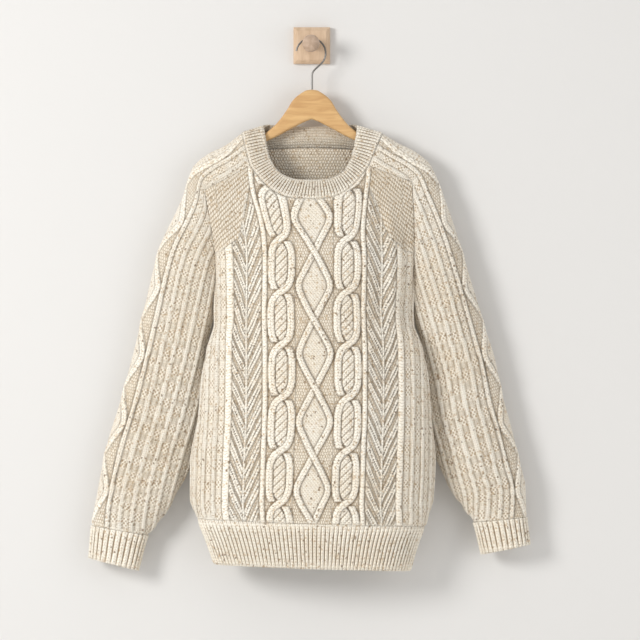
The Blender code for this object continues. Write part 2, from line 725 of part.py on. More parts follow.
def panel_relief(face, along, level, kinds):
    """Height of the raised knitting at each point of the grid."""
    rows, columns = along.shape
    away = abs(along)
    relief = np.zeros(along.shape)
    side_room = np.clip((half_length(face, level) - SIDE_START) / SIDE_FLAT, 0, 1)
    for c, kind in enumerate(kinds):
        if kind in ("cord", "valley"):
            central = diamond_relief(along[:, c], level[:, c])
            cabled = cable_relief(away[:, c] - CABLE_MIDDLE, level[:, c])
            relief[:, c] = np.where(away[:, c] < DIAMOND_LANE, central, cabled)
        elif kind == "rib":
            relief[:, c] = RIB_HEIGHT
        elif kind == "tree":
            relief[:, c] = TREE_HEIGHT * (np.arange(rows) % 2)
        else:
            relief[:, c] = RIB_HEIGHT * (c % 2) * side_room[:, c]
    from_ends = seam_fade(steps_from_edge(rows) * PANEL_STEP)[:, None]
    from_sides = seam_fade(steps_from_edge(columns) * PANEL_STEP)[None, :]
    return relief * from_ends * from_sides


def square_edges(normals, level, hem_row):
    """Turns the normals at the side seams straight sideways and at the hem seam level, to meet flush."""
    for column, sign in ((0, -1.0), (-1, 1.0)):
        below = level[:, column] <= UNDERARM + 1e-6
        normals[below, column] = (sign, 0.0, 0.0)
    normals[hem_row, :, 2] = 0
    return unit(normals)


def neck_reach(face):
    """How many columns lie between the middle one and the neck's corner."""
    return [lane for _, lane in lane_columns(np.array([0.0]), face == "front")].index(NECK_LANE) + 1


def inside_columns(face, columns):
    """The columns that the panel's plain inside keeps."""
    corners = {columns // 2 - neck_reach(face), columns // 2 + neck_reach(face)}
    return sorted(set(range(0, columns, PANEL_INSIDE_STEP)) | corners)


def make_panel(face, material):
    along, level, kinds = panel_grid(face, fine=face == "front")
    rows, columns = along.shape
    normals = square_edges(body_normal(face, along, level), level, 0)
    folds = fold_depth(along, level, FRONT_FOLDS if face == "front" else [])
    return cloth(
        face,
        body_point(face, along, level) - normals * folds,
        normals,
        panel_relief(face, along, level, kinds),
        list(range(0, rows, PANEL_INSIDE_STEP)),
        inside_columns(face, columns),
        material,
        flip=face == "back",
    )


# Hem ribs

def rib_relief(columns, rows):
    ribs = (np.arange(columns) % 2)[None, :] * np.ones((rows, 1))
    return ribs * RIB_HEIGHT * seam_fade(steps_from_edge(columns) * NARROW_STEP)


def make_hem(face, material):
    columns = 4 * HEM_RIB_GROUPS + 1
    rows = 2
    share = np.linspace(-1, 1, columns)[None, :]
    down = np.linspace(0, 1, rows)[:, None]
    start = HEM_SEAM + HEM_SEAM_TILT * share
    end = HEM_END + HEM_END_TILT * share
    level = end + (start - end) * down
    along = share * half_length(face, level)
    return cloth(
        "hem_rib_" + face,
        body_point(face, along, level),
        square_edges(body_normal(face, along, level), level, rows - 1),
        rib_relief(columns, rows),
        [0, rows - 1],
        list(range(0, columns, RIB_INSIDE_STEP)),
        material,
        flip=face == "back",
    )


# Sleeves and cuffs

def sleeve_distances(level):
    """Distances from the sleeve's outer line of the columns that follow its diamond."""
    return [0 * level, *diamond_columns(level), 0 * level + DIAMOND_LANE]


def sleeve_shares(side, row):
    """Shares of the sleeve's half that put columns on the diamond's bands and on the ribs."""
    line = sleeve_point(side, row, np.linspace(0, 1, 41))
    length = np.linalg.norm(np.diff(line, axis=0), axis=1).sum()
    fitted = min(1.0, SLEEVE_DIAMOND_SHARE * length / DIAMOND_LANE)
    inner = np.array(sleeve_distances(sleeve(side, "outer_z", row))) * fitted / length
    outer = inner[-1] + (1 - inner[-1]) * np.linspace(0, 1, SLEEVE_SIDE_COLUMNS + 1)[1:]
    return np.concatenate([inner, outer])


def sleeve_grid(side, rows):
    halves = np.array([sleeve_shares(side, row) for row in rows])
    return np.concatenate([-halves[:, :0:-1], halves], axis=1)


def sleeve_relief(side, row_grid):
    """The diamond down the sleeve's outer line, and a rib on every second column beyond it."""
    rows, columns = row_grid.shape
    level = sleeve(side, "outer_z", row_grid)
    from_middle = abs(np.arange(columns) - columns // 2)
    distances = np.stack(sleeve_distances(level))
    last = len(distances) - 1
    chosen = np.broadcast_to(np.minimum(from_middle, last), level.shape)
    along = np.take_along_axis(distances, chosen[None], axis=0)[0]
    ribs = RIB_HEIGHT * (from_middle % 2)
    relief = np.where(from_middle <= last, diamond_relief(along, level), ribs)
    from_ends = seam_fade(steps_from_edge(rows) * PANEL_STEP)[:, None]
    from_seam = seam_fade(steps_from_edge(columns) * NARROW_STEP)[None, :]
    return relief * from_ends * from_seam


def make_sleeve(side, material):
    strap = np.linspace(0, CORNER_ROW, STRAP_ROWS + 1)[:-1]
    cap = np.linspace(CORNER_ROW, UNDERARM_ROW, BODY_ROWS_HIGH + 1)
    tube = np.linspace(UNDERARM_ROW, CUFF_ROW, TUBE_ROWS + 1)[1:]
    rows = np.concatenate([strap, cap, tube])
    shares = sleeve_grid(side, rows)
    row_grid = np.broadcast_to(rows[:, None], shares.shape)
    normals = sleeve_normal(side, row_grid, shares)
    folds = fold_depth(shares, row_grid, SLEEVE_FOLDS[side])
    return cloth(
        "sleeve_left" if side < 0 else "sleeve_right",
        sleeve_point(side, row_grid, shares) - normals * folds,
        normals,
        sleeve_relief(side, row_grid),
        list(range(0, len(rows), 2)),
        list(range(0, shares.shape[1], 2)),
        material,
        closed_from=STRAP_ROWS + BODY_ROWS_HIGH,
        flip=side < 0,
    )


def make_cuff(side, material):
    columns = 4 * CUFF_RIB_GROUPS + 1
    rows = np.array([CUFF_ROW, CUFF_END_ROW])
    shares = np.broadcast_to(np.linspace(-1, 1, columns), (len(rows), columns))
    row_grid = np.broadcast_to(rows[:, None], shares.shape)
    relief = RIB_HEIGHT * CUFF_RIB_SHARE * (np.arange(columns) % 2)[None, :] * np.ones((len(rows), 1))
    return cloth(
        "cuff_left" if side < 0 else "cuff_right",
        sleeve_point(side, row_grid, shares),
        sleeve_normal(side, row_grid, shares),
        relief,
        [0, len(rows) - 1],
        list(range(0, columns, RIB_INSIDE_STEP)),
        material,
        closed_from=0,
        flip=side < 0,
    )


# Neckband

def neck_half(side):
    """The neck's seam from the front's middle over one shoulder to the back's middle.

    Returns the points, their outward directions, their stations (1 on the shoulder, 2 at the back)
    and whether each is a corner of its neighbour's plain inside."""
    points, normals, inside = [], [], []
    for face, forward in (("front", True), ("back", False)):
        along, level, _ = panel_grid(face, fine=face == "front")
        columns = along.shape[1] // 2 + side * np.arange(neck_reach(face) + 1)
        kept = set(inside_columns(face, along.shape[1]))
        if not forward:
            columns = columns[::-1]
        part_points = body_point(face, along[-1, columns], level[-1, columns])
        part_normals = body_normal(face, along[-1, columns], level[-1, columns])
        if forward:
            shares = sleeve_grid(side, [0.0])[0][::-1]
            shoulder_points = sleeve_point(side, np.zeros(len(shares)), shares)[1:]
            shoulder_normals = sleeve_normal(side, np.zeros(len(shares)), shares)[1:]
            points += [part_points, shoulder_points]
            normals += [part_normals, shoulder_normals]
            inside += [c in kept for c in columns] + [i % 2 == 0 for i in range(1, len(shares))]
            ridge = len(part_points) - 1 + len(shares) // 2
        else:
            points.append(part_points[1:])
            normals.append(part_normals[1:])
            inside += [c in kept for c in columns[1:]]
    points, normals = np.concatenate(points), np.concatenate(normals)
    lengths = np.linalg.norm(np.diff(points, axis=0), axis=1)
    run = np.concatenate([[0], np.cumsum(lengths)])
    station = np.where(run <= run[ridge], run / run[ridge], 1 + (run - run[ridge]) / (run[-1] - run[ridge]))
    return points, normals, station, np.array(inside)


def neck_edge(side, station):
    x = smooth(station, NECK_EDGE["station"], NECK_EDGE["x"])
    x = x if side < 0 else -x * NECK_EDGE_RIGHT_SCALE
    y = smooth(station, NECK_EDGE["station"], NECK_EDGE["y"])
    level = smooth(station, NECK_EDGE["station"], NECK_EDGE["level"])
    return np.stack([x, y, level], axis=-1)


def make_neckband(material):
    """A ribbed band from the neck's seam to its free edge, with the seam's own corners kept."""
    left, right = neck_half(-1), neck_half(1)
    seam, normals, edge = [], [], []
    corners, count = [], 0
    for side, half, order in ((-1, left, 1), (1, right, -1)):
        points, directions, station, inside = (values[::order] for values in half)
        for i in range(len(points) - 1):
            length = np.linalg.norm(points[i + 1] - points[i])
            steps = 2 * max(1, round(length / NECKBAND_RIB / 2))
            share = np.arange(steps)[:, None] / steps
            seam.append(points[i] + (points[i + 1] - points[i]) * share)
            normals.append(directions[i] + (directions[i + 1] - directions[i]) * share)
            edge.append(neck_edge(side, (station[i] + (station[i + 1] - station[i]) * share)[:, 0]))
            corners += [count] if inside[i] else []
            count += steps
    corners.append(count)
    seam, normals, edge = (np.concatenate(a + [a[0][:1]]) for a in (seam, normals, edge))
    around = np.roll(edge[:-1], -1, axis=0) - np.roll(edge[:-1], 1, axis=0)
    around = np.concatenate([around, around[:1]])
    outward = -unit(np.cross(around, edge - seam))
    base = np.stack([seam, edge])
    directions = np.stack([normals, outward])
    relief = np.ones((2, 1)) * RIB_HEIGHT * NECK_RIB_SHARE * (np.arange(len(seam)) % 2)[None, :]
    return cloth("neckband", base, directions, relief, [0, 1], corners, material, closed_from=0, flip=True)


# Hanger, hook and wall plate

def finish_mesh(name, bm, material, smooth_angle):
    bmesh.ops.recalc_face_normals(bm, faces=bm.faces)
    mesh = bpy.data.meshes.new(name)
    bm.to_mesh(mesh)
    bm.free()
    mesh.shade_smooth()
    mesh.set_sharp_from_angle(angle=math.radians(smooth_angle))
    return new_object(name, mesh, material)


def ridge_level(x):
    """The lower of the two shoulders at this distance from the middle."""
    levels = [np.interp(abs(x), abs(SLEEVES[s]["outer_x"][:5]), SLEEVES[s]["outer_z"][:5]) for s in (-1, 1)]
    return min(levels)


def hanger_top(x):
    under_cloth = ridge_level(x) - WALL / math.cos(math.radians(SHOULDER_SLOPE)) - HANGER_GAP
    at_neck = float(smooth(abs(x), *np.array(HANGER_NECK).T))
    blend = np.clip((abs(x) - HANGER_NECK[-1][0]) / HANGER_NECK_BLEND, 0, 1)
    return at_neck * (1 - blend) + under_cloth * blend


def make_hanger(material):
    """Wooden arms: rounded upright sections along the span, narrower towards the tips."""
    bm = bmesh.new()
    stations = [i * HANGER_HALF_SPAN / HANGER_STEPS for i in range(-HANGER_STEPS, HANGER_STEPS + 1)]
    rings = []
    for x in stations:
        from_tip = HANGER_HALF_SPAN - abs(x)
        rounding = math.sqrt(1 - max(0.0, 1 - (from_tip + 1.0) / HANGER_TIP) ** 2)
        top, bottom = hanger_top(x), float(smooth(abs(x), *np.array(HANGER_UNDERSIDE).T))
        middle, half_height = (top + bottom) / 2, (top - bottom) / 2 * rounding
        half_thick = HANGER_THICK / 2 * rounding
        ring = []
        for k in range(HANGER_SIDES):
            angle = 2 * math.pi * (k + 0.5) / HANGER_SIDES
            c, sn = math.cos(angle), math.sin(angle)
            corner = max(half_height - half_thick, 0.0)
            z = middle + math.copysign(corner, sn) + half_thick * sn * min(1.0, half_height / half_thick)
            ring.append(bm.verts.new((x * MM, (HANGER_Y + half_thick * c) * MM, z * MM)))
        rings.append(ring)
    for a, b in zip(rings, rings[1:]):
        for k in range(HANGER_SIDES):
            bm.faces.new((a[k], a[(k + 1) % HANGER_SIDES], b[(k + 1) % HANGER_SIDES], b[k]))
    bm.faces.new(rings[0])
    bm.faces.new(rings[-1])
    return finish_mesh("hanger_body", bm, material, 40)


def hook_route():
    """The hook's wire: over the knob's stem, round below it and straight down into the wood."""
    cx, cz = HOOK_CENTRE
    arc = np.radians(np.linspace(HOOK_START, HOOK_END, HOOK_ARC_STEPS))
    points = [(cx + HOOK_RADIUS * math.cos(a), cz + HOOK_RADIUS * math.sin(a)) for a in arc]
    start, end = np.array(points[-1]), np.array(HOOK_SHANK_TOP)
    leave = np.array([math.sin(arc[-1]), -math.cos(arc[-1])]) * HOOK_BEND_PULL[0]
    arrive = np.array([0.0, -HOOK_BEND_PULL[1]])
    for t in np.linspace(0, 1, HOOK_BEND_STEPS)[1:]:
        blend = (2 * t**3 - 3 * t**2 + 1, t**3 - 2 * t**2 + t, -2 * t**3 + 3 * t**2, t**3 - t**2)
        points.append(tuple(blend[0] * start + blend[1] * leave + blend[2] * end + blend[3] * arrive))
    points.append((HOOK_SHANK_TOP[0], hanger_top(0.0) + PART_GAP))
    return [(x, HANGER_Y, z) for x, z in points]


def make_hook(material):
    curve = bpy.data.curves.new("hanger_hook", "CURVE")
    curve.dimensions = "3D"
    curve.bevel_depth = HOOK_WIRE * MM
    curve.bevel_resolution = 2
    curve.use_fill_caps = True
    route = hook_route()
    spline = curve.splines.new("POLY")
    spline.points.add(len(route) - 1)
    for point, place in zip(spline.points, route):
        point.co = (*(c * MM for c in place), 1.0)
    curve.materials.append(material)
    made = bpy.data.objects.new("hanger_hook", curve)
    collection_of("aran_sweater").objects.link(made)
    return made


def make_plate(material):
    """A square wooden plate, bevelled on its front edges."""
    bm = bmesh.new()
    bmesh.ops.create_cube(bm, size=1.0)
    bmesh.ops.scale(bm, verts=bm.verts, vec=(PLATE_SIDE * MM, PLATE_THICK * MM, PLATE_SIDE * MM))
    bmesh.ops.translate(bm, verts=bm.verts, vec=(0, -PLATE_THICK / 2 * MM, 0))
    front = -(PLATE_THICK - 0.1) * MM
    edges = [e for e in bm.edges if all(v.co.y < front for v in e.verts)]
    bmesh.ops.bevel(bm, geom=edges, offset=PLATE_BEVEL * MM, segments=2, profile=0.5, affect="EDGES")
    return finish_mesh("wall_plate", bm, material, 30)


def make_knob(material):
    """A turned peg: a stem that the hook lies on, and a round end that keeps it there."""
    base = -PLATE_THICK - PART_GAP
    profile = [(0.0, base), (KNOB_STEM_RADIUS, base), (KNOB_STEM_RADIUS, KNOB_NECK_Y)]
    swell = np.radians(np.linspace(KNOB_SWELL_START, 90, KNOB_SWELL_STEPS))
    ball = [(KNOB_RADIUS * math.cos(a), KNOB_MIDDLE_Y - KNOB_HALF_DEPTH * math.sin(a)) for a in swell[1:-1]]
    profile += [*ball, (0.0, KNOB_MIDDLE_Y - KNOB_HALF_DEPTH)]
    mesh = bpy.data.meshes.new("wall_knob")
    cx, cz = KNOB_CENTRE
    points = [(r * MM, y * MM, 0.0) for r, y in profile]
    mesh.from_pydata(points, [(i, i + 1) for i in range(len(points) - 1)], [])
    made = new_object("wall_knob", mesh, material)
    made.location = (cx * MM, 0.0, cz * MM)
    screw = made.modifiers.new("turned", "SCREW")
    screw.axis = "Y"
    screw.steps = screw.render_steps = KNOB_SIDES
    screw.use_merge_vertices = True
    screw.merge_threshold = 0.00001
    screw.use_smooth_shade = True
    return made


# Materials

def material(name, colour, roughness, metallic=0.0):
    made = bpy.data.materials.new(name)
    made.use_nodes = True
    shader = made.node_tree.nodes["Principled BSDF"]
    shader.inputs["Base Color"].default_value = (*colour, 1.0)
    shader.inputs["Roughness"].default_value = roughness
    shader.inputs["Metallic"].default_value = metallic
    return made


def main():
    for old in list(bpy.data.objects):
        bpy.data.objects.remove(old)
    wool = material("wool", (0.76, 0.70, 0.59), 0.9)
    rib_wool = material("rib_wool", (0.72, 0.66, 0.55), 0.9)
    for face in ("front", "back"):
        make_panel(face, wool)
        make_hem(face, rib_wool)
    for side in (-1, 1):
        make_sleeve(side, wool)
        make_cuff(side, rib_wool)
    make_neckband(rib_wool)
    beech = material("beech", (0.62, 0.40, 0.19), 0.45)
    pale_beech = material("pale_beech", (0.66, 0.49, 0.30), 0.55)
    make_hanger(beech)
    make_hook(material("steel", (0.56, 0.55, 0.53), 0.3, 1.0))
    make_plate(pale_beech)
    make_knob(pale_beech)


main()
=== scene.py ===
"""Looks of the aran sweater on its hanger: fine knitted shells, woods, wire, light and camera.

Tables and sizes are in millimetres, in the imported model's frame. Z is up, the garment faces -Y,
and the wall is the plane Y = 0.
"""

import math

import bmesh
import bpy
import numpy as np
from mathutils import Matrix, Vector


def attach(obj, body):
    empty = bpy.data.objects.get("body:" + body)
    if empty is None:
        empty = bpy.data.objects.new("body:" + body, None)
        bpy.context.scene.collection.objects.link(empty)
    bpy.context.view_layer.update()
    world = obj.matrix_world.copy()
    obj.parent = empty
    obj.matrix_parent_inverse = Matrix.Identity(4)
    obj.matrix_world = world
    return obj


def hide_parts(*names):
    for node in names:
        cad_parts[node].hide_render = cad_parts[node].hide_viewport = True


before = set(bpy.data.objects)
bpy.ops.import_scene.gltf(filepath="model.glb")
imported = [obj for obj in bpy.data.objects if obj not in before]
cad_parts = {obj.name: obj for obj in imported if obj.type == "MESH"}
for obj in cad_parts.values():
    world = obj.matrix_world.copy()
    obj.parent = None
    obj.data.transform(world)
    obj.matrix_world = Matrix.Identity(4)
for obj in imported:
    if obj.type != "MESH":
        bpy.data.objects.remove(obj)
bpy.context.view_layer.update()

MM = 0.001

# Cloth
WALL = 3.0  # knitted wall without its relief
SEAM_HALF_GAP = 0.16  # each piece stops this far short of its seam line

# Levels of the garment
HEM_SEAM = -741.0  # top of the hem rib at the middle
HEM_END = -811.0
HEM_SEAM_TILT = -6.5  # the hem hangs a little lower on the right
HEM_END_TILT = -5.5
UNDERARM = -412.0

# The body, a row for each level: where its sides, seams, front and back lie
BODY_COLUMNS = "level left right front_seam back_seam front back roundness".split()
BODY_ROWS = [
    (-826, -145, 150, -57, -57, -110, -13, 0.50),
    (-806, -150, 154, -57, -57, -114, -11, 0.50),
    (-770, -162, 165, -57, -57, -121, -10, 0.50),
    (-738, -175, 178, -57, -57, -129, -9, 0.50),
    (-704, -187, 187, -57, -57, -134, -8, 0.50),
    (-643, -186, 190, -57, -57, -134, -8, 0.50),
    (-580, -176, 185, -57, -57, -130, -8, 0.50),
    (-491, -165, 175, -57, -57, -123, -8, 0.50),
    (-460, -158, 167, -53, -53, -119, -8, 0.50),
    (-435, -150, 157, -44, -44, -116, -8, 0.50),
    (-412, -152, 158, -31, -31, -113, -8, 0.50),
    (-378, -149, 157, -42, -23, -108, -8, 0.55),
    (-338, -149, 158, -48, -18, -103, -8, 0.62),
    (-300, -153, 158, -52, -16, -96, -8, 0.70),
    (-265, -159, 158, -53, -15, -88, -9, 0.75),
    (-226, -165, 156, -52, -15, -77, -10, 0.80),
    (-189, -165, 155, -51, -15, -64, -12, 0.85),
    (-150, -165, 155, -50, -15, -52, -15, 0.90),
]

# The saddle shoulders and the neck, left and right
NECK_CORNER_X = {-1: -95.7, 1: 88.7}  # where strap, panel and neckband meet
SHOULDER_CORNER_X = {-1: -165.0, 1: 155.5}  # where strap seam and armhole meet
STRAP_SEAM_LEVEL = {  # levels of the strap's seam at the neck and at the armhole
    ("front", -1): (-189.0, -226.0),
    ("front", 1): (-189.0, -214.0),
    ("back", -1): (-165.0, -206.0),
    ("back", 1): (-165.0, -200.0),
}
FRONT_NECK_DROP = 52.0
FRONT_NECK_SQUARENESS = (3.0, 1.1)
BACK_NECK_DROP = -5.0

# The sleeves, a row for each section from the neck to the cuff's end
SLEEVE_COLUMNS = "outer_x outer_z inner_x inner_z back_z sweep front_depth back_depth line_y".split()
SLEEVE_LEFT_ROWS = [
    (-109, -138, -95.7, 0, 0, 90, 26, 17, -32),
    (-134, -157, -122, 0, 0, 90, 24, 17, -32),
    (-162, -171, -147, 0, 0, 93, 21, 17, -32),
    (-185, -192, -165, -226, -206, 97, 20, 17, -32),
    (-197, -229, -159, -265, -248, 110, 22, 19, -32),
    (-214, -267, -153, -301, -288, 125, 25, 21, -32),
    (-233, -307, -149, -338, -330, 142, 27, 23, -31),
    (-246, -350, -149, -378, -373, 160, 28, 24, -31),
    (-257, -397, -152, -412, -412, 180, 28, 24, -31),
    (-268, -443, -162, -460, -460, 180, 27, 24, -30),
    (-283, -502, -168, -528, -528, 180, 27, 24, -29),
    (-299, -560, -175, -590, -590, 180, 27, 24, -29),
    (-316, -614, -186, -645, -645, 180, 28, 24, -29),
    (-327, -663, -207, -691, -691, 180, 29, 24, -30),
    (-334, -702, -226, -725, -725, 180, 28, 24, -30),
    (-339, -728, -241, -745, -745, 180, 25, 22, -30),
    (-341, -747, -255, -762, -762, 180, 22, 20, -30),
    (-345, -798, -271, -817, -817, 180, 20, 19, -30),
]
SLEEVE_RIGHT_ROWS = [
    (110, -139, 88.7, 0, 0, 90, 26, 17, -32),
    (135, -154, 112, 0, 0, 90, 24, 17, -32),
    (159, -166, 136, 0, 0, 93, 21, 17, -32),
    (184, -187, 155.5, -214, -200, 97, 20, 17, -32),
    (199, -222, 158, -254, -242, 110, 22, 19, -32),
    (213, -258, 158, -291, -282, 125, 25, 21, -32),
    (227, -301, 158, -329, -325, 142, 28, 23, -31),
    (241, -347, 158, -372, -370, 160, 29, 24, -31),
    (255, -393, 158, -412, -412, 180, 29, 24, -31),
    (269, -440, 169, -460, -460, 180, 28, 24, -30),
    (284, -487, 174, -521, -521, 180, 27, 24, -29),
    (296, -544, 180, -580, -580, 180, 27, 24, -29),
    (310, -595, 190, -632, -632, 180, 28, 24, -29),
    (321, -642, 207, -673, -673, 180, 29, 24, -30),
    (332, -688, 226, -705, -705, 180, 28, 24, -30),
    (333, -716, 240, -724, -724, 180, 25, 22, -30),
    (333, -734, 252, -742, -742, 180, 22, 20, -30),
    (338, -777, 265, -792, -792, 180, 20, 19, -30),
]
CORNER_ROW = 3  # the row at the end of the strap
UNDERARM_ROW = 8
CUFF_ROW = 16
CUFF_END_ROW = 17

# The neckband's free edge on the left, from the front's middle over the shoulder to the back's
NECK_EDGE_COLUMNS = "station x y level".split()
NECK_EDGE_ROWS = [
    (0.00, 0.0, -71, -211),
    (0.18, -23, -70, -210),
    (0.36, -44, -67, -203),
    (0.58, -62, -60, -182),
    (0.80, -69.5, -50, -154),
    (1.00, -74, -33, -127),
    (1.30, -66, -22, -124),
    (1.60, -40, -17.5, -126),
    (2.00, 0.0, -16.5, -127),
]
NECK_EDGE_RIGHT_SCALE = 0.95
HEM_RIB_GROUPS = 30  # two ribs each, on the front and on the back
CUFF_RIB_GROUPS = 14

# The knitted pattern, in distances along the cloth from the middle line
DIAMOND_PERIOD = 104.5
DIAMOND_CROSSING = -323.0  # level of one crossing
DIAMOND_REACH = 24.0  # from the middle line to a band's middle at the widest
DIAMOND_LANE = 29.0
DIAMOND_BEND = 0.96  # 1 would turn its bands sharply at the widest
BAND_HALF = 5.0
CABLE_MIDDLE = 51.0
CABLE_LANE = 73.0
CABLE_PERIOD = 81.4
CABLE_CROSSING = -384.4
CABLE_REACH = 15.6
CABLE_BAND_HALF = 6.0
CABLE_STEEPNESS = 1.9  # how quickly its bands swap sides
CABLE_END = 0.10  # the band below stops this near to a crossing, as a share of the way
ROPE_HALF = 9.5
ROPE_LEAST = 0.5  # half its width at a crossing
ROPE_PITCH = 12.5
ROPE_GROOVE = 0.75  # how deep its twist is cut
ROPE_SHARE = 0.95  # it stands this much as high as the bands
NARROW_RIB = 77.0
TREE_START = 81.0
TREE_MIDDLE = 106.5
TREE_END = 130.5
SIDE_START = 142.0
SIDE_PITCH = 19.0

# Hanger, wall plate and knob
HANGER_Y = -32.0  # middle of its thickness
HANGER_THICK = 12.0
HANGER_HALF_SPAN = 178.0
HANGER_GAP = 2.2
HANGER_TIP = 9.0  # its tips are rounded over this length
HANGER_BLEND = 24.0  # beyond its neck, it takes this far to follow the shoulders
HANGER_SQUARENESS = (0.7, 0.9)  # of its sections, across and upwards; 1 would be round
HANGER_NECK = [(0, -70), (8, -71), (14, -74), (29, -86), (39, -102), (56, -124), (76, -141)]
HANGER_UNDERSIDE = [(0, -116), (8, -119), (31, -130.5), (60, -146), (109, -166), (150, -187), (178, -203)]
SHOULDER_SLOPE = 30.0
KNOB_CENTRE = (-1.2, 0.8)
KNOB_STEM_RADIUS = 7.2
KNOB_RADIUS = 13.5
KNOB_NECK_Y = -41.0
KNOB_MIDDLE_Y = -51.0
KNOB_HALF_DEPTH = 10.5
PLATE_SIDE = 57.0
PLATE_THICK = 15.0
PLATE_BEVEL = 6.0
RIM_BEVEL = 0.7
PART_GAP = 0.3


# Curves through the tables

def smooth(at, stations, values):
    """A smooth curve through the table's values, which never overshoots them."""
    stations = np.asarray(stations, float)
    values = np.asarray(values, float)
    step = np.diff(stations)
    slope = np.diff(values) / step
    product = slope[:-1] * slope[1:]
    total = np.where(product > 0, slope[:-1] + slope[1:], 1.0)
    tangent = np.concatenate([slope[:1], np.where(product > 0, 2 * product / total, 0.0), slope[-1:]])
    at = np.clip(np.asarray(at, float), stations[0], stations[-1])
    i = np.clip(np.searchsorted(stations, at, side="right") - 1, 0, len(step) - 1)
    t = (at - stations[i]) / step[i]
    rise = (3 - 2 * t) * t * t
    return (
        values[i] * (1 - rise)
        + values[i + 1] * rise
        + step[i] * t * (1 - t) * ((1 - t) * tangent[i] - t * tangent[i + 1])
    )


def table(columns, rows):
    return dict(zip(columns, np.array(rows, float).T))


BODY = table(BODY_COLUMNS, BODY_ROWS)
NECK_EDGE = table(NECK_EDGE_COLUMNS, NECK_EDGE_ROWS)
SLEEVES = {-1: table(SLEEVE_COLUMNS, SLEEVE_LEFT_ROWS), 1: table(SLEEVE_COLUMNS, SLEEVE_RIGHT_ROWS)}


def body(column, level):
    return smooth(level, BODY["level"], BODY[column])


# The body's surface: level sections, measured along the cloth from the middle line

ARC_LEVELS = np.linspace(-826.0, -150.0, 170)
ARC_SHARES = np.linspace(-1.0, 1.0, 121)


def section_point(face, angle, level):
    """A point of the front or back, where the angle runs from -90 degrees at the left side to 90."""
    left, right = body("left", level), body("right", level)
    seam, middle = body(face + "_seam", level), body(face, level)
    across = np.sin(angle)
    x = (left + right) / 2 + (right - left) / 2 * across
    y = seam + (middle - seam) * np.clip(1 - across * across, 0, 1) ** body("roundness", level)
    return np.stack(np.broadcast_arrays(x, y, level), axis=-1)


def arc_tables(face):
    """For each level, the half length of its section, and the angle at each share of it."""
    sweep = np.linspace(-np.pi / 2, np.pi / 2, 241)
    points = section_point(face, sweep[None, :], ARC_LEVELS[:, None])
    steps = np.linalg.norm(np.diff(points, axis=1), axis=2)
    along = np.concatenate([np.zeros((len(ARC_LEVELS), 1)), np.cumsum(steps, axis=1)], axis=1)
    half = along[:, -1] / 2
    along -= half[:, None]
    angles = np.array([np.interp(ARC_SHARES * h, a, sweep) for h, a in zip(half, along)])
    return half, angles


ARCS = {face: arc_tables(face) for face in ("front", "back")}


def half_length(face, level):
    """Half of the section's length, from the middle line to the side seam or armhole."""
    return np.interp(level, ARC_LEVELS, ARCS[face][0])


def body_point(face, along, level):
    """The point at a distance along the cloth from the middle line, at a level."""
    along, level = np.broadcast_arrays(np.asarray(along, float), np.asarray(level, float))
    angles = ARCS[face][1]
    row = np.clip((level - ARC_LEVELS[0]) / (ARC_LEVELS[1] - ARC_LEVELS[0]), 0, len(ARC_LEVELS) - 1.001)
    share = np.clip(along / half_length(face, level), -1, 1)
    column = np.clip((share + 1) / (ARC_SHARES[1] - ARC_SHARES[0]), 0, len(ARC_SHARES) - 1.001)
    r, c = row.astype(int), column.astype(int)
    fr, fc = row - r, column - c
    angle = (
        angles[r, c] * (1 - fr) * (1 - fc)
        + angles[r + 1, c] * fr * (1 - fc)
        + angles[r, c + 1] * (1 - fr) * fc
        + angles[r + 1, c + 1] * fr * fc
    )
    return section_point(face, angle, level)


def unit(vectors):
    return vectors / np.linalg.norm(vectors, axis=-1, keepdims=True)


def body_normal(face, along, level):
    """The outward direction of the body's surface."""
    d = 0.6
    half = half_length(face, level) - d
    along = np.clip(along, -half, half)
    across = body_point(face, along + d, level) - body_point(face, along - d, level)
    upward = body_point(face, along, level + d) - body_point(face, along, level - d)
    normal = unit(np.cross(across, upward))
    return normal if face == "front" else -normal


# The neckline and the strap seams, as levels over x

def strap_seam_level(face, side, x):
    start, end = NECK_CORNER_X[side], SHOULDER_CORNER_X[side]
    share = np.clip((x - start) / (end - start), 0, 1)
    high, low = STRAP_SEAM_LEVEL[face, side]
    return high + (low - high) * share


def neckline_level(face, x):
    left, right = NECK_CORNER_X[-1], NECK_CORNER_X[1]
    share = np.clip(abs((2 * x - left - right) / (right - left)), 0, 1)
    if face == "back":
        return STRAP_SEAM_LEVEL[face, 1][0] - BACK_NECK_DROP * (1 - share**2)
    power, root = FRONT_NECK_SQUARENESS
    return STRAP_SEAM_LEVEL[face, 1][0] - FRONT_NECK_DROP * (1 - share**power) ** root


def top_level(face, x):
    """Where a column of the panel that ends at x stops."""
    if NECK_CORNER_X[-1] <= x <= NECK_CORNER_X[1]:
        return float(neckline_level(face, x))
    return float(strap_seam_level(face, -1 if x < 0 else 1, x))


# The sleeve's surface, in rows from the neck and shares from the back seam (-1) to the front seam (1)

def sleeve(side, column, row):
    return smooth(row, np.arange(len(SLEEVES[side]["outer_x"])), SLEEVES[side][column])


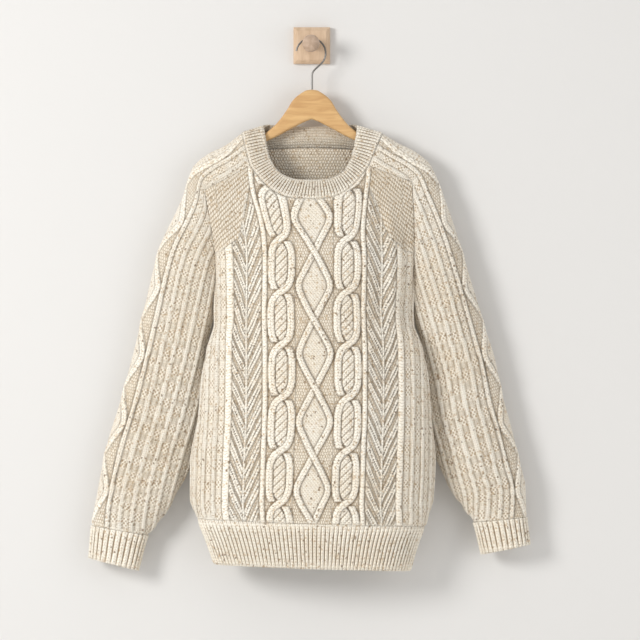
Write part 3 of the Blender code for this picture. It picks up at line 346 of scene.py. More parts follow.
def seam_point(face, side, row):
    """The seam's point on the body, along the strap, down the armhole and along the sleeve."""
    inner_x, line_y = sleeve(side, "inner_x", row), sleeve(side, "line_y", row)
    column = "inner_z" if face == "front" else "back_z"
    level = smooth(row, np.arange(CORNER_ROW, CUFF_END_ROW + 1), SLEEVES[side][column][CORNER_ROW:])
    level = np.where(row < CORNER_ROW, strap_seam_level(face, side, inner_x), level)
    on_armhole = (row >= CORNER_ROW) & (row <= UNDERARM_ROW)
    left, right = body("left", level), body("right", level)
    x = np.where(on_armhole, left if side < 0 else right, inner_x)
    across = np.clip((x - (right + left) / 2) / ((right - left) / 2), -1, 1)
    on_body = section_point(face, np.arcsin(across), level)[..., 1]
    y = np.where(row <= UNDERARM_ROW, on_body, line_y)
    return np.stack(np.broadcast_arrays(x, y, level), axis=-1)


def sleeve_point(side, row, share):
    """A point of the sleeve: from its outer line it bends over the front or the back to the seam."""
    row, share = np.broadcast_arrays(np.asarray(row, float), np.asarray(share, float))
    outer = np.stack([sleeve(side, c, row) for c in ("outer_x", "line_y", "outer_z")], axis=-1)
    sweep = np.radians(sleeve(side, "sweep", row))
    angle = sweep * abs(share)
    toward = ((1 - np.cos(angle)) / (1 - np.cos(sweep)))[..., None]
    result = np.zeros(outer.shape)
    for face, sign in (("front", -1), ("back", 1)):
        seam = seam_point(face, side, row)
        depth = sleeve(side, face + "_depth", row) * sign
        point = outer + (seam - outer) * toward
        end = outer[..., 1] + depth * np.sin(sweep)
        point[..., 1] = outer[..., 1] + depth * np.sin(angle) + (seam[..., 1] - end) * share**2
        chosen = share >= 0 if face == "front" else share < 0
        result = np.where(chosen[..., None], point, result)
    return result


def sleeve_normal(side, row, share):
    d_row, d_share = 0.02, 0.01
    row = np.clip(row, d_row, CUFF_END_ROW - d_row)
    wrapped = row > UNDERARM_ROW
    before, after = share - d_share, share + d_share
    before = np.where(wrapped & (before < -1), before + 2, np.maximum(before, -1))
    after = np.where(wrapped & (after > 1), after - 2, np.minimum(after, 1))
    across = sleeve_point(side, row, after) - sleeve_point(side, row, before)
    down = sleeve_point(side, row + d_row, share) - sleeve_point(side, row - d_row, share)
    return unit(np.cross(across, down)) * side


NECK_LANE = NARROW_RIB  # the lane that ends at the neck's corner

# The knitting: heights over the ground, and the kind of stitch at each place

STITCH = 3.8  # width of one stitch
ROW = 4.6  # height of one row of stitches
GRID = 1.6  # spacing of the front's points
BACK_GRID = 2.1
INNER_STEP = 8  # the plain inside keeps one point in this many
PLACE_ROUNDS = 12  # rounds that find a place on the cloth from its x
EDGE_ROUNDS = 5  # rounds that find where a column ends
CORD_RISE = 3.9
UNDER_SHARE = 0.88  # a cord below another stands this much as high
UNDER_REACH = 3.0  # and sinks over this distance beside it
MOSS_RISE = 0.8
RIB_RISE = 2.6
TREE_RISE = 1.7
TREE_PERIOD = 31.0
TREE_SLOPE = 2.1  # how steeply its branches climb from the middle
TREE_LINES = (3.2, 7.8)  # places of a branch's two lines, square to it
TREE_LINE_HALF = 2.1
TREE_SPINE = 1.15  # the line up its middle stands this much as high as a branch
TREE_DRIFT = (2.5, 41.0)  # how far its branches drift up and down, and over what length
TREE_RIPPLE = (0.7, 3.1, 17.0)  # and how far along themselves, across and up
TREE_UNEVEN = 0.7  # how far single branches lie off their place
EDGE_RIB = 136.4  # middle of the broad rib beside the tree
EDGE_RIB_HALF = 6.2
NARROW_RIB_HALF = 3.8
SIDE_MOSS = 11.5  # width of a moss column; a smooth rib fills the rest of the pitch
BOBBLE_PITCH = 27.0
BOBBLE_RISE = 0.7
CLUSTER = (0.65, 0.8)  # the clusters' middle share and swing along a column; more fills it up
FINE_MOSS = 1.6  # the diamonds' moss is this much finer than the knitting
DIAMOND_MOSS = 0.45  # and this much of it is moss, over plain knitting
SIDE_FINE = 1.3  # and the side columns' moss this much
SLEEVE_CORD_SHARE = 0.44  # the sleeves' waves stand this much as high as the front's diamonds
SLEEVE_BORDER = 33.0
SLEEVE_COLUMNS_START = 37.0
RIB_PITCH = 5.4  # of the neckband
NECK_RIB_SHARE = 0.85  # its ribs stand this much as high as the hem's
SHOULDER_EDGE = [(81, -222), (95, -246), (118, -300), (150, -322), (200, -330)]  # lane and level
SHOULDER_BLEND = 20.0  # above that edge the panels' sides are plain purl
SHOULDER_ROW = 6.8  # where rows of purl ridges this far apart climb inwards
SHOULDER_RISE = 1.3
SHOULDER_SLANT = 0.75  # how fast its rows fall towards the armhole

# The largest soft folds, from their top to their low end; a ridge has a negative depth
FOLD_COLUMNS = "top_place top low_place low half_width depth".split()
FRONT_FOLDS = [  # places are distances from the middle line, and top and low are levels
    (-114, -225, -128, -465, 11, 4.5),
    (-146, -255, -150, -480, 10, -3.0),
    (105, -235, 103, -460, 9, 2.5),
    (122, -230, 124, -470, 9, -3.5),
    (148, -270, 150, -460, 9, 3.5),
    (40, -630, 72, -735, 16, 2.0),
    (-30, -590, -62, -735, 18, 2.0),
]
SLEEVE_FOLDS = {  # places are shares of the sleeve's half, and top and low are rows of its table
    -1: [
        (0.36, 6.0, 0.56, 14.0, 0.12, 2.5),
        (0.76, 4.5, 0.80, 10.5, 0.10, -2.0),
    ],
    1: [
        (0.82, 3.4, 0.82, 7.5, 0.10, -3.0),
        (0.45, 7.0, 0.45, 13.5, 0.10, -2.0),
        (0.78, 8.5, 0.80, 14.0, 0.10, 2.5),
    ],
}
FOLD_END = 0.25  # the share of a fold's length in which it dies away
FOLD_POINTS = 9  # and the grid points in which it does so towards a seam
HOLLOW_EDGE = 4  # the grid points in which the painted shade between cords dies away towards a seam
HOLLOW_DEPTH = 1.2  # a point this far below its surroundings is in full painted shade
HOLLOW_ROUNDS = 3  # rounds of smoothing that give the surroundings


def ease(value):
    value = np.clip(value, 0, 1)
    return value * value * (3 - 2 * value)


def cord(distance, half_width):
    """A rounded cord's height, 1 along its middle."""
    return np.sqrt(np.clip(1 - (distance / half_width) ** 2, 0, 1))


def diamond_offset(level):
    """How far the first band lies to the right of the middle line; the second mirrors it."""
    phase = np.sin(np.pi * (level - DIAMOND_CROSSING) / DIAMOND_PERIOD)
    return DIAMOND_REACH * np.arcsin(DIAMOND_BEND * phase) / math.asin(DIAMOND_BEND)


def cable_offset(level):
    phase = np.sin(np.pi * (level - CABLE_CROSSING) / CABLE_PERIOD)
    return CABLE_REACH * np.tanh(CABLE_STEEPNESS * phase) / math.tanh(CABLE_STEEPNESS)


def lean(offset_of, level):
    """How much wider than square to itself a slanting cord measures across the panel."""
    step = 0.5
    return np.hypot(1, (offset_of(level + step) - offset_of(level - step)) / (2 * step))


def crossed_cords(over, under, half_width):
    """Heights of two cords, where the one on top presses the other down beside it."""
    pressed = ease((abs(over) - half_width) / UNDER_REACH + 0.35)
    return cord(over, half_width), UNDER_SHARE * cord(under, half_width) * pressed


def band_stitches(top, low, over, under, half_width, wale, course, level):
    """Wale and course at each point, which follow the cords where there is one."""
    on_cord = np.maximum(top, low) > 0.05
    chosen = np.where(top >= low, over, under)
    return np.where(on_cord, chosen / half_width, wale), np.where(on_cord, level / ROW, course)


def diamonds(across, level):
    """Height, purl, moss, wale and course of the diamonds; the band that falls to the right lies on top."""
    offset = diamond_offset(level)
    width = lean(diamond_offset, level)
    first_climbs = np.cos(np.pi * (level - DIAMOND_CROSSING) / DIAMOND_PERIOD) > 0
    first, second = (across - offset) / width, (across + offset) / width
    over = np.where(first_climbs, second, first)
    under = np.where(first_climbs, first, second)
    top, low = crossed_cords(over, under, BAND_HALF)
    bands = np.maximum(top, low)
    inside = ease((abs(offset) - abs(across)) / BAND_HALF)
    ground = 1 - np.minimum(1, bands * 3)
    fine = 1 + (FINE_MOSS - 1) * (inside > 0.5)
    wale, course = across / STITCH * fine, level / ROW * fine
    wale, course = band_stitches(top, low, over, under, BAND_HALF, wale, course, level)
    height = np.maximum(CORD_RISE * bands, MOSS_RISE * inside)
    return height, ground * (1 - inside), DIAMOND_MOSS * ground * inside, wale, course


def cables(across, level):
    """The same of a twisted rope between two bands that swap sides over it."""
    offset = cable_offset(level)
    width = lean(cable_offset, level)
    turn = np.pi * (level - CABLE_CROSSING) / CABLE_PERIOD
    climbs = np.where(np.cos(turn) > 0, 1, -1)
    over = (across - climbs * offset) / width
    under = across + climbs * (CABLE_REACH * np.sign(offset) + offset) / 2
    top, low = crossed_cords(over, under, CABLE_BAND_HALF)
    low = low * ease((abs(np.sin(turn)) - CABLE_END) / CABLE_END)
    bands = np.maximum(top, low)
    strand = (level - across) / ROPE_PITCH
    twist = 1 - ROPE_GROOVE + ROPE_GROOVE * np.sqrt(abs(np.sin(np.pi * strand)))
    half_width = np.clip(abs(offset) - CABLE_BAND_HALF + 1.5, ROPE_LEAST, ROPE_HALF)
    envelope = cord(across, half_width) ** 0.6
    rope = ROPE_SHARE * (envelope * twist * np.clip(half_width / 4.0, 0, 1))
    wale, course = band_stitches(top, low, over, under, CABLE_BAND_HALF, across / STITCH, level / ROW, level)
    on_rope = rope > bands
    wale = np.where(on_rope, strand * 2, wale)
    course = np.where(on_rope, (level + across) / math.sqrt(2) / ROW, course)
    purl = 1 - np.minimum(1, np.maximum(bands, envelope) * 3)
    return CORD_RISE * np.maximum(bands, rope), purl, 0, wale, course


def tree(across, level):
    """The same of a fine spine with branches of two fine lines each, which climb both ways from it."""
    square = math.hypot(1, TREE_SLOPE)
    drift, drift_length = TREE_DRIFT
    ripple, ripple_across, ripple_up = TREE_RIPPLE
    sway = drift * np.sin(level / drift_length) + ripple * np.sin(across / ripple_across + level / ripple_up)
    shifted = level + sway - TREE_SLOPE * abs(across)
    branch = np.floor(shifted / TREE_PERIOD) + 0.37 * np.sign(across)
    place = shifted % TREE_PERIOD / square + TREE_UNEVEN * np.sin(branch * 2.7)
    first, second = (cord(place - middle, TREE_LINE_HALF) for middle in TREE_LINES)
    spine = cord(across, TREE_LINE_HALF)
    ends = ease((TREE_MIDDLE - TREE_START - abs(across)) / TREE_LINE_HALF / 2)
    lines = ends * np.maximum(first, (0.8 + 0.2 * np.sin(branch * 4.1)) * second)
    nearest = np.where(first >= second, place - TREE_LINES[0], place - TREE_LINES[1])
    nearest = np.where(spine > 0, across, nearest)
    wale = np.where(lines + spine > 0, nearest / TREE_LINE_HALF / 2 + 0.5, across / STITCH)
    on_line = (lines > 0) * (spine == 0)
    course = np.where(on_line, (TREE_SLOPE * level + abs(across)) / square / ROW, level / ROW)
    height = np.where(spine > 0, TREE_SPINE * spine, lines)
    return TREE_RISE * height, 1 - np.minimum(1, height * 2), 0, wale, course


def side_columns(across, run):
    """Height, purl and moss of ribs between columns with clusters of moss; across starts at a column."""
    number = np.floor(across / SIDE_PITCH)
    place = across - number * SIDE_PITCH
    rib = cord(place - (SIDE_MOSS + SIDE_PITCH) / 2, (SIDE_PITCH - SIDE_MOSS) / 2)
    beside = 1 - np.minimum(1, rib * 2)
    turn = run / BOBBLE_PITCH + 0.5 * (number % 2) + 0.2 * np.sin(number * 2.4 + run / 60.0)
    cluster = ease(CLUSTER[0] + CLUSTER[1] * np.cos(2 * np.pi * turn)) * beside
    bobble = cluster * cord(place - SIDE_MOSS / 2, SIDE_MOSS / 2)
    return np.maximum(RIB_RISE * rib, BOBBLE_RISE * bobble), 0.25 * (1 - cluster) * beside, cluster


def by_lane(away, parts, rest):
    """The five values of each part up to the lane where it ends, and of the rest beyond them all."""
    regions = [away < end for end, _ in parts]
    return [np.select(regions, [part[k] for _, part in parts], rest[k]) for k in range(5)]


def body_knit(lane, level):
    """Height, purl, moss, wale and course at a lane and level of the front or back."""
    away, course = abs(lane), level / ROW
    edge_place = (away - EDGE_RIB) / EDGE_RIB_HALF
    place = np.where(away < TREE_START, (away - NARROW_RIB) / NARROW_RIB_HALF, edge_place)
    rib = (RIB_RISE * cord(place, 1), 1 - cord(place, 1), 0, place / 2 + 0.5, course)
    parts = [
        (DIAMOND_LANE, diamonds(lane, level)),
        (CABLE_LANE, cables(lane - np.sign(lane) * CABLE_MIDDLE, level)),
        (TREE_START, rib),
        (TREE_END, tree(away - TREE_MIDDLE, level)),
        (SIDE_START, rib),
    ]
    rest = (*side_columns(away - SIDE_START, level), lane / STITCH * SIDE_FINE, course * SIDE_FINE)
    height, purl, moss, wale, course = by_lane(away, parts, rest)
    edge = np.interp(away, *np.array(SHOULDER_EDGE, float).T)
    shoulder = ease((level - edge) / SHOULDER_BLEND + 0.5) * (away > TREE_START)
    slanting = (level + SHOULDER_SLANT * away) / SHOULDER_ROW
    ridges = SHOULDER_RISE * abs(np.sin(np.pi * slanting))
    height = height + (ridges - height) * shoulder
    purl = purl + (1 - purl) * shoulder
    wale = np.where(shoulder > 0.5, lane / STITCH, wale)
    course = np.where(shoulder > 0.5, slanting, course)
    return height, purl, moss * (1 - shoulder), wale, course


def fold_depth(place, height, rows):
    """How far the soft folds sink the cloth at each point of a grid, and nothing on its edges."""
    depth = np.zeros(place.shape)
    for row in rows:
        fold = dict(zip(FOLD_COLUMNS, row))
        share = (height - fold["top"]) / (fold["low"] - fold["top"])
        middle = fold["top_place"] + (fold["low_place"] - fold["top_place"]) * share
        ends = ease(share / FOLD_END) * ease((1 - share) / FOLD_END)
        depth += fold["depth"] * ends * np.exp(-(((place - middle) / fold["half_width"]) ** 2))
    return (depth * edge_fade(place.shape, FOLD_POINTS))[..., None]


def hollows(height):
    """How far each point lies below its surroundings, 0 to 1: the mask of the painted shade in hollows."""
    around = height
    for _ in range(HOLLOW_ROUNDS):
        for axis in (0, 1):
            around = (np.roll(around, 1, axis) + around + np.roll(around, -1, axis)) / 3
    return np.clip((around - height) / HOLLOW_DEPTH, 0, 1) * edge_fade(height.shape, HOLLOW_EDGE)


# Shells


def loops_of(faces):
    """The edge loops of an open mesh, each in the direction of its faces."""
    edges = {(a, b) for face in faces for a, b in zip(face, face[1:] + face[:1])}
    following = {a: b for a, b in sorted(edges) if (b, a) not in edges}
    loops = []
    while following:
        start = min(following)
        loop = [start]
        while following[loop[-1]] != start:
            loop.append(following.pop(loop[-1]))
        following.pop(loop[-1])
        loops.append(loop)
    return loops


def grid_faces(index, rows, columns):
    """Faces between the chosen rows and columns of a grid of vertex numbers."""
    faces = []
    for r0, r1 in zip(rows, rows[1:]):
        for c0, c1 in zip(columns, columns[1:]):
            corners = [index[r0][c0], index[r0][c1], index[r1][c1], index[r1][c0]]
            faces.append([v for k, v in enumerate(corners) if v != corners[k - 1]])
    return faces


def rim_faces(outer_loop, inner_set, shift):
    """Faces that close the wall between an outer edge loop and its coarser inner one."""
    count = len(outer_loop)
    marks = [i for i, v in enumerate(outer_loop) if v in inner_set]
    faces = []
    for start, end in zip(marks, marks[1:] + [marks[0] + count]):
        middle = (start + end + 1) // 2
        inner_start, inner_end = outer_loop[start] + shift, outer_loop[end % count] + shift
        for i in range(start, end):
            tip = inner_start if i < middle else inner_end
            faces.append([outer_loop[(i + 1) % count], outer_loop[i % count], tip])
        faces.append([inner_start, inner_end, outer_loop[middle % count]])
    return faces


def inward_of_seams(base, normals, loops):
    """For each point on an edge loop, the step that moves both of its edges inwards by 1."""
    inward = np.zeros(base.shape)
    for loop in loops:
        before, here, after = (base[np.roll(loop, shift)] for shift in (1, 0, -1))
        first = np.cross(normals[loop], unit(here - before))
        second = np.cross(normals[loop], unit(after - here))
        turn = 1 + (first * second).sum(axis=1, keepdims=True)
        inward[loop] = (first + second) / np.maximum(turn, 0.6)
    return inward


def link(made, material, replaced):
    """Adds a piece that stands for a node of the CAD."""
    made.data.materials.append(material)
    bpy.context.scene.collection.objects.link(made)
    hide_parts(replaced)
    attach(made, "root")
    return made


def shell(node, form, knit, stitches, material, kept, plain=None, closed_from=None, flip=False):
    """A knitted wall on the CAD's form: fine outside, plain inside on the kept rows and columns.

    form is (points, normals), knit (height, purl, moss), stitches the wale and course at each
    point of the grid, and plain the same for the inside, where it differs."""
    base, normals = form
    height, purl, moss = (np.broadcast_to(k, base.shape[:2]) for k in knit)
    hollow_shade = hollows(height)
    row_count, column_count = base.shape[:2]
    flat_index = np.arange(row_count * column_count).reshape(row_count, column_count)
    index = flat_index.copy()
    if closed_from is not None:
        index[closed_from:, -1] = index[closed_from:, 0]
    whole = range(row_count), range(column_count)
    outer_faces = grid_faces(index.tolist(), *whole)
    corner_faces = grid_faces(flat_index.tolist(), *whole)
    plain_faces = grid_faces(index.tolist(), *kept)
    if flip:
        outer_faces, corner_faces, plain_faces = (
            [face[::-1] for face in faces] for faces in (outer_faces, corner_faces, plain_faces)
        )
    base, normals = base.reshape(-1, 3), normals.reshape(-1, 3)
    shift = len(base)
    edges = loops_of(outer_faces)
    base = base + inward_of_seams(base, normals, edges) * SEAM_HALF_GAP
    points = np.concatenate([base + normals * height.reshape(-1, 1), base - normals * WALL]) * MM
    inner_set = {v for face in plain_faces for v in face}
    faces = outer_faces + [[v + shift for v in face[::-1]] for face in plain_faces]
    corners = corner_faces + faces[len(outer_faces):]
    for loop in edges:
        rim = rim_faces(loop, inner_set, shift)
        faces += rim
        corners += rim
    used = np.unique(np.concatenate([np.array(face) for face in faces]))
    number = np.zeros(2 * shift, int)
    number[used] = np.arange(len(used))
    mesh = bpy.data.meshes.new(node + "_knit")
    mesh.from_pydata(points[used].tolist(), [], [[int(number[v]) for v in face] for face in faces])
    layer = mesh.uv_layers.new(name="Knit")
    sides = [np.broadcast_arrays(*pair, flat_index)[:2] for pair in (stitches, plain or stitches)]
    wale_course = np.concatenate([np.stack(pair, axis=-1).reshape(-1, 2) for pair in sides])
    chosen = np.concatenate([np.array(face) for face in corners])
    layer.data.foreach_set("uv", wale_course[chosen].astype(np.float32).reshape(-1))
    # the hollow attribute carries the mask of painted shade in the hollows between cords
    for label, values, inner in (("purl", purl, 1.0), ("moss", moss, 0.0), ("hollow_shade", hollow_shade, 0.0)):
        layer = mesh.attributes.new(label, "FLOAT", "POINT")
        both = np.concatenate([values.reshape(-1), np.full(shift, inner)])
        layer.data.foreach_set("value", both[used].astype(np.float32))
    mesh.shade_smooth()
    return link(bpy.data.objects.new(node + "_knit", mesh), material, node)


def every(*counts):
    """Of each count of rows or columns, those that the plain inside keeps, with the last."""
    return [sorted({*range(0, count, INNER_STEP), count - 1}) for count in counts]


# Front and back

def along_at(face, x, level):
    """The distance from the middle line of the point with this x."""
    along = 0.0
    for _ in range(PLACE_ROUNDS):
        along += x - body_point(face, along, level)[0]
    return along


def top_along(face, side, lane, widest):
    """Where the column of a lane ends on the neckline or strap seam."""
    neck = abs(along_at(face, NECK_CORNER_X[side], STRAP_SEAM_LEVEL[face, side][0]))
    corner = float(half_length(face, STRAP_SEAM_LEVEL[face, side][1]))
    if lane <= NECK_LANE:
        return side * lane * neck / NECK_LANE
    return side * (neck + (corner - neck) * (lane - NECK_LANE) / (widest - NECK_LANE))


def panel_column(face, side, lane, side_share, low_rows, high_rows):
    """One fine column: its distances along and its levels from the hem seam to the top.

    Its lane is up to SIDE_START, or it is there and the share is its place between that and the side."""
    rows = np.arange(low_rows + high_rows + 1)
    widest = float(half_length(face, STRAP_SEAM_LEVEL[face, side][1]))
    end_along = top_along(face, side, lane + (widest - SIDE_START) * side_share, widest)
    end_level = STRAP_SEAM_LEVEL[face, side][1]
    if side_share < 1:
        for _ in range(EDGE_ROUNDS):
            end_level = top_level(face, body_point(face, end_along, end_level)[0])
    if lane == NECK_LANE:
        end_level = STRAP_SEAM_LEVEL[face, side][0]
    half_hem = float(half_length(face, HEM_SEAM))
    hem_along = lane + (half_hem - SIDE_START) * side_share
    start_level = HEM_SEAM + HEM_SEAM_TILT * side * hem_along / half_hem
    climb = np.clip((rows - low_rows) / high_rows, 0, 1)
    level = np.where(
        rows <= low_rows,
        start_level + (UNDERARM - start_level) * rows / low_rows,
        UNDERARM + (end_level - UNDERARM) * climb,
    )
    seam = seam_point(face, side, UNDERARM_ROW - (UNDERARM_ROW - CORNER_ROW) * climb)[:, 2]
    edge_level = UNDERARM + (STRAP_SEAM_LEVEL[face, side][1] - UNDERARM) * climb
    level = level + np.where(rows <= low_rows, 0, (seam - edge_level) * side_share**2)
    along = side * (lane + (half_length(face, level) - SIDE_START) * side_share)
    blend = ease(climb * 2 - 1) * (side_share < 1)
    along = along + (end_along - along) * blend
    lanes = side * lane if side_share == 0 else along
    return along, level, np.broadcast_to(lanes, rows.shape)


def make_panel(face, spacing, material):
    near = np.linspace(0, NECK_LANE, round(NECK_LANE / spacing) + 1)
    far = np.linspace(NECK_LANE, SIDE_START, round((SIDE_START - NECK_LANE) / spacing) + 1)[1:]
    wide = float(half_length(face, -700.0)) - SIDE_START
    outside = np.linspace(0, 1, round(wide / spacing) + 1)[1:]
    places = [(lane, 0.0) for lane in (*near, *far)] + [(SIDE_START, share) for share in outside]
    low_rows = round((UNDERARM - HEM_SEAM) / spacing)
    high_rows = round((STRAP_SEAM_LEVEL[face, 1][0] - UNDERARM) / spacing)
    columns = [panel_column(face, -1, *place, low_rows, high_rows) for place in places[:0:-1]]
    columns += [panel_column(face, 1, *place, low_rows, high_rows) for place in places]
    along, level, lane = (np.stack(part, axis=1) for part in zip(*columns))
    base = body_point(face, along, level)
    normals = body_normal(face, along, level)
    for column, sign in ((0, -1.0), (-1, 1.0)):
        below = level[:, column] <= UNDERARM + 1e-6
        normals[below, column] = (sign, 0.0, 0.0)
    base = base - normals * fold_depth(along, level, FRONT_FOLDS if face == "front" else [])
    height, purl, moss, *stitches = body_knit(lane if face == "front" else -lane, level)
    knit = (height * edge_fade(along.shape), purl, moss)
    neck_corners = {len(places) - len(near), len(places) + len(near) - 2}
    rows, columns = every(*along.shape)
    kept = (rows, sorted({*columns, *neck_corners}))
    plain = (lane / STITCH, level / ROW)
    return shell(face, (base, normals), knit, stitches, material, kept, plain, flip=face == "back")


def edge_fade(shape, reach=3, apart=False):
    """0 on the grid's edges, rising to 1 a few points inside; apart, rows and columns each do so."""
    from_ends, from_sides = (np.minimum(np.arange(n), n - 1 - np.arange(n)) for n in shape)
    if apart:
        return ease(from_ends / reach)[:, None] * ease(from_sides / reach)
    return ease(np.minimum(from_ends[:, None], from_sides) / reach)


# Hem, cuffs and neckband

RIB_STEPS = 8  # points across each rib
RIB_FLATNESS = 0.8  # 1 would round its ribs like waves
RIB_PURL = (0.55, 0.4)  # below this height a rib turns to purl, and within how much
HEM_ROWS = 17  # rows of points
CUFF_ROWS = 13
NECKBAND_ROWS = 11
NECK_POINTS = 40  # on each quarter of the neck's seam


def rib_knit(place):
    """Height and purl of a one by one rib, where place counts ribs."""
    wave = abs(np.cos(np.pi * place))
    return RIB_RISE * wave**RIB_FLATNESS, ease((RIB_PURL[0] - wave) / RIB_PURL[1])


def rise_at_ends(rows, first, last, last_reach):
    """The share of a rib's height at each row; first and last are its shares at the ends."""
    row = np.arange(rows)[:, None]
    return ease(row / 2 + first) * ease((rows - 1 - row) / last_reach + last)


def make_hem(face, material):
    ribs = 2 * HEM_RIB_GROUPS
    share = np.linspace(-1, 1, RIB_STEPS * ribs + 1)[None, :]
    down = np.linspace(0, 1, HEM_ROWS)[:, None]
    start = HEM_SEAM + HEM_SEAM_TILT * share
    end = HEM_END + HEM_END_TILT * share
    level = end + (start - end) * down
    along = share * half_length(face, level)
    height, purl = rib_knit(share * ribs / 2 + 0.5)
    knit = (height * rise_at_ends(HEM_ROWS, 0.4, 0.3, 4), purl, 0)
    form = (body_point(face, along, level), body_normal(face, along, level))
    name, stitches, kept = "hem_rib_" + face, (share * ribs, level / ROW), every(*along.shape)
    return shell(name, form, knit, stitches, material, kept, flip=face == "back")


def make_cuff(side, material):
    ribs = 2 * CUFF_RIB_GROUPS
    shares = np.tile(np.linspace(-1, 1, RIB_STEPS * ribs + 1), (CUFF_ROWS, 1))
    row_grid = np.broadcast_to(np.linspace(CUFF_ROW, CUFF_END_ROW, CUFF_ROWS)[:, None], shares.shape)
    base, normals = sleeve_point(side, row_grid, shares), sleeve_normal(side, row_grid, shares)
    run = np.linalg.norm(base - base[:1], axis=-1)
    name = "cuff_left" if side < 0 else "cuff_right"
    knit, stitches = (*rib_knit(shares * ribs / 2), 0), (shares * ribs, -run / ROW)
    kept = every(*shares.shape)
    return shell(name, (base, normals), knit, stitches, material, kept, closed_from=0, flip=side < 0)


def neck_seam(side):
    """The neck's seam from the front's middle over one shoulder to the back's middle."""
    points, normals = [], []
    for face in ("front", "back"):
        corner_level = STRAP_SEAM_LEVEL[face, side][0]
        neck = abs(along_at(face, NECK_CORNER_X[side], corner_level))
        share = np.linspace(0, 1, NECK_POINTS) if face == "front" else np.linspace(1, 0, NECK_POINTS)
        along = side * neck * share
        level = neckline_level(face, body_point(face, along, corner_level)[:, 0])
        level = np.where(share == 1, corner_level, level)
        points.append(body_point(face, along, level))
        normals.append(body_normal(face, along, level))
        if face == "front":
            over = (side, np.zeros(NECK_POINTS), np.linspace(1, -1, NECK_POINTS))
            points.append(sleeve_point(*over)[1:-1])
            normals.append(sleeve_normal(*over)[1:-1])
    points, normals = np.concatenate(points), np.concatenate(normals)
    run = np.concatenate([[0], np.cumsum(np.linalg.norm(np.diff(points, axis=0), axis=1))])
    ridge = run[NECK_POINTS + NECK_POINTS // 2 - 1]
    station = np.where(run <= ridge, run / ridge, 1 + (run - ridge) / (run[-1] - ridge))
    return points, normals, station, run


def neck_edge(side, station):
    x, y, level = (smooth(station, NECK_EDGE["station"], NECK_EDGE[name]) for name in ("x", "y", "level"))
    return np.stack([x if side < 0 else -x * NECK_EDGE_RIGHT_SCALE, y, level], axis=-1)


def make_neckband(material):
    """A ribbed ring from the neck's seam to its free edge."""
    seam, normals, edge = [], [], []
    for side in (-1, 1):
        points, directions, station, run = neck_seam(side)
        count = RIB_STEPS * round(run[-1] / RIB_PITCH)
        at = np.linspace(0, run[-1], count + 1)
        order = slice(0, count) if side < 0 else slice(count, 0, -1)
        for part, values in ((seam, points), (normals, directions)):
            part.append(np.stack([np.interp(at, run, values[:, k]) for k in range(3)], axis=1)[order])
        edge.append(neck_edge(side, np.interp(at, run, station))[order])
    seam, normals, edge = (np.concatenate([*part, part[0][:1]]) for part in (seam, normals, edge))
    around = np.roll(edge[:-1], -1, axis=0) - np.roll(edge[:-1], 1, axis=0)
    around = np.concatenate([around, around[:1]])
    outward = -unit(np.cross(around, edge - seam))
    down = np.linspace(0, 1, NECKBAND_ROWS)[:, None, None]
    base = seam + (edge - seam) * down
    directions = unit(normals + (outward - normals) * ease(down * 2.5))
    place = np.tile(np.arange(base.shape[1]) / RIB_STEPS, (NECKBAND_ROWS, 1))
    height, purl = rib_knit(place)
    length = np.linalg.norm(edge - seam, axis=1)[None, :] * down[..., 0]
    knit = (height * rise_at_ends(NECKBAND_ROWS, 0.3, 0.4, 3) * NECK_RIB_SHARE, purl, 0)
    kept = ([0, NECKBAND_ROWS // 2, NECKBAND_ROWS - 1], every(base.shape[1])[0])
    form, stitches = (base, directions), (place * 2, length / ROW)
    return shell("neckband", form, knit, stitches, material, kept, closed_from=0, flip=True)


# Sleeves

STRAP_STEPS = 48
CAP_STEPS = 104
TUBE_STEPS = 176
HALF_COLUMNS = 72


def make_sleeve(side, material):
    strap = np.linspace(0, CORNER_ROW, STRAP_STEPS + 1)[:-1]
    cap = np.linspace(CORNER_ROW, UNDERARM_ROW, CAP_STEPS + 1)[:-1]
    tube = np.linspace(UNDERARM_ROW, CUFF_ROW, TUBE_STEPS + 1)
    rows = np.concatenate([strap, cap, tube])
    shares = np.tile(np.linspace(-1, 1, 2 * HALF_COLUMNS + 1), (len(rows), 1))
    row_grid = np.broadcast_to(rows[:, None], shares.shape)
    base, normals = sleeve_point(side, row_grid, shares), sleeve_normal(side, row_grid, shares)
    base = base - normals * fold_depth(shares, row_grid, SLEEVE_FOLDS[side])
    steps = np.linalg.norm(np.diff(base, axis=1), axis=2)
    across = np.concatenate([np.zeros((len(rows), 1)), np.cumsum(steps, axis=1)], axis=1)
    across -= across[:, HALF_COLUMNS:HALF_COLUMNS + 1]
    outer_steps = np.linalg.norm(np.diff(base[:, HALF_COLUMNS], axis=0), axis=1)
    run = np.concatenate([[0], np.cumsum(outer_steps)])[:, None] + 0 * across
    away = abs(across)
    border = cord(away - SLEEVE_BORDER, NARROW_RIB_HALF)
    fine = np.where(away > SLEEVE_COLUMNS_START, SIDE_FINE, 1)
    wale, course = across / STITCH * fine, -run / ROW * fine
    cords, *others = diamonds(across, sleeve(side, "outer_z", row_grid))
    parts = [
        (DIAMOND_LANE, (SLEEVE_CORD_SHARE * cords, *others)),
        (SLEEVE_COLUMNS_START, (RIB_RISE * border, 1 - border, 0, wale, course)),
    ]
    rest = (*side_columns(away - SLEEVE_COLUMNS_START, run), wale, course)
    height, purl, moss, *stitches = by_lane(away, parts, rest)
    knit = (height * edge_fade(shares.shape, 4, apart=True), purl, moss)
    wrapped = len(strap) + len(cap)
    rows, columns = every(*shares.shape)
    kept = (sorted({*rows, wrapped}), columns)
    name, plain = "sleeve_left" if side < 0 else "sleeve_right", (across / STITCH, -run / ROW)
    return shell(name, (base, normals), knit, stitches, material, kept, plain, wrapped, side < 0)


# Hanger, hook and wall plate

FINE_STEPS = 90
FINE_SIDES = 28
KNOB_SIDES = 72


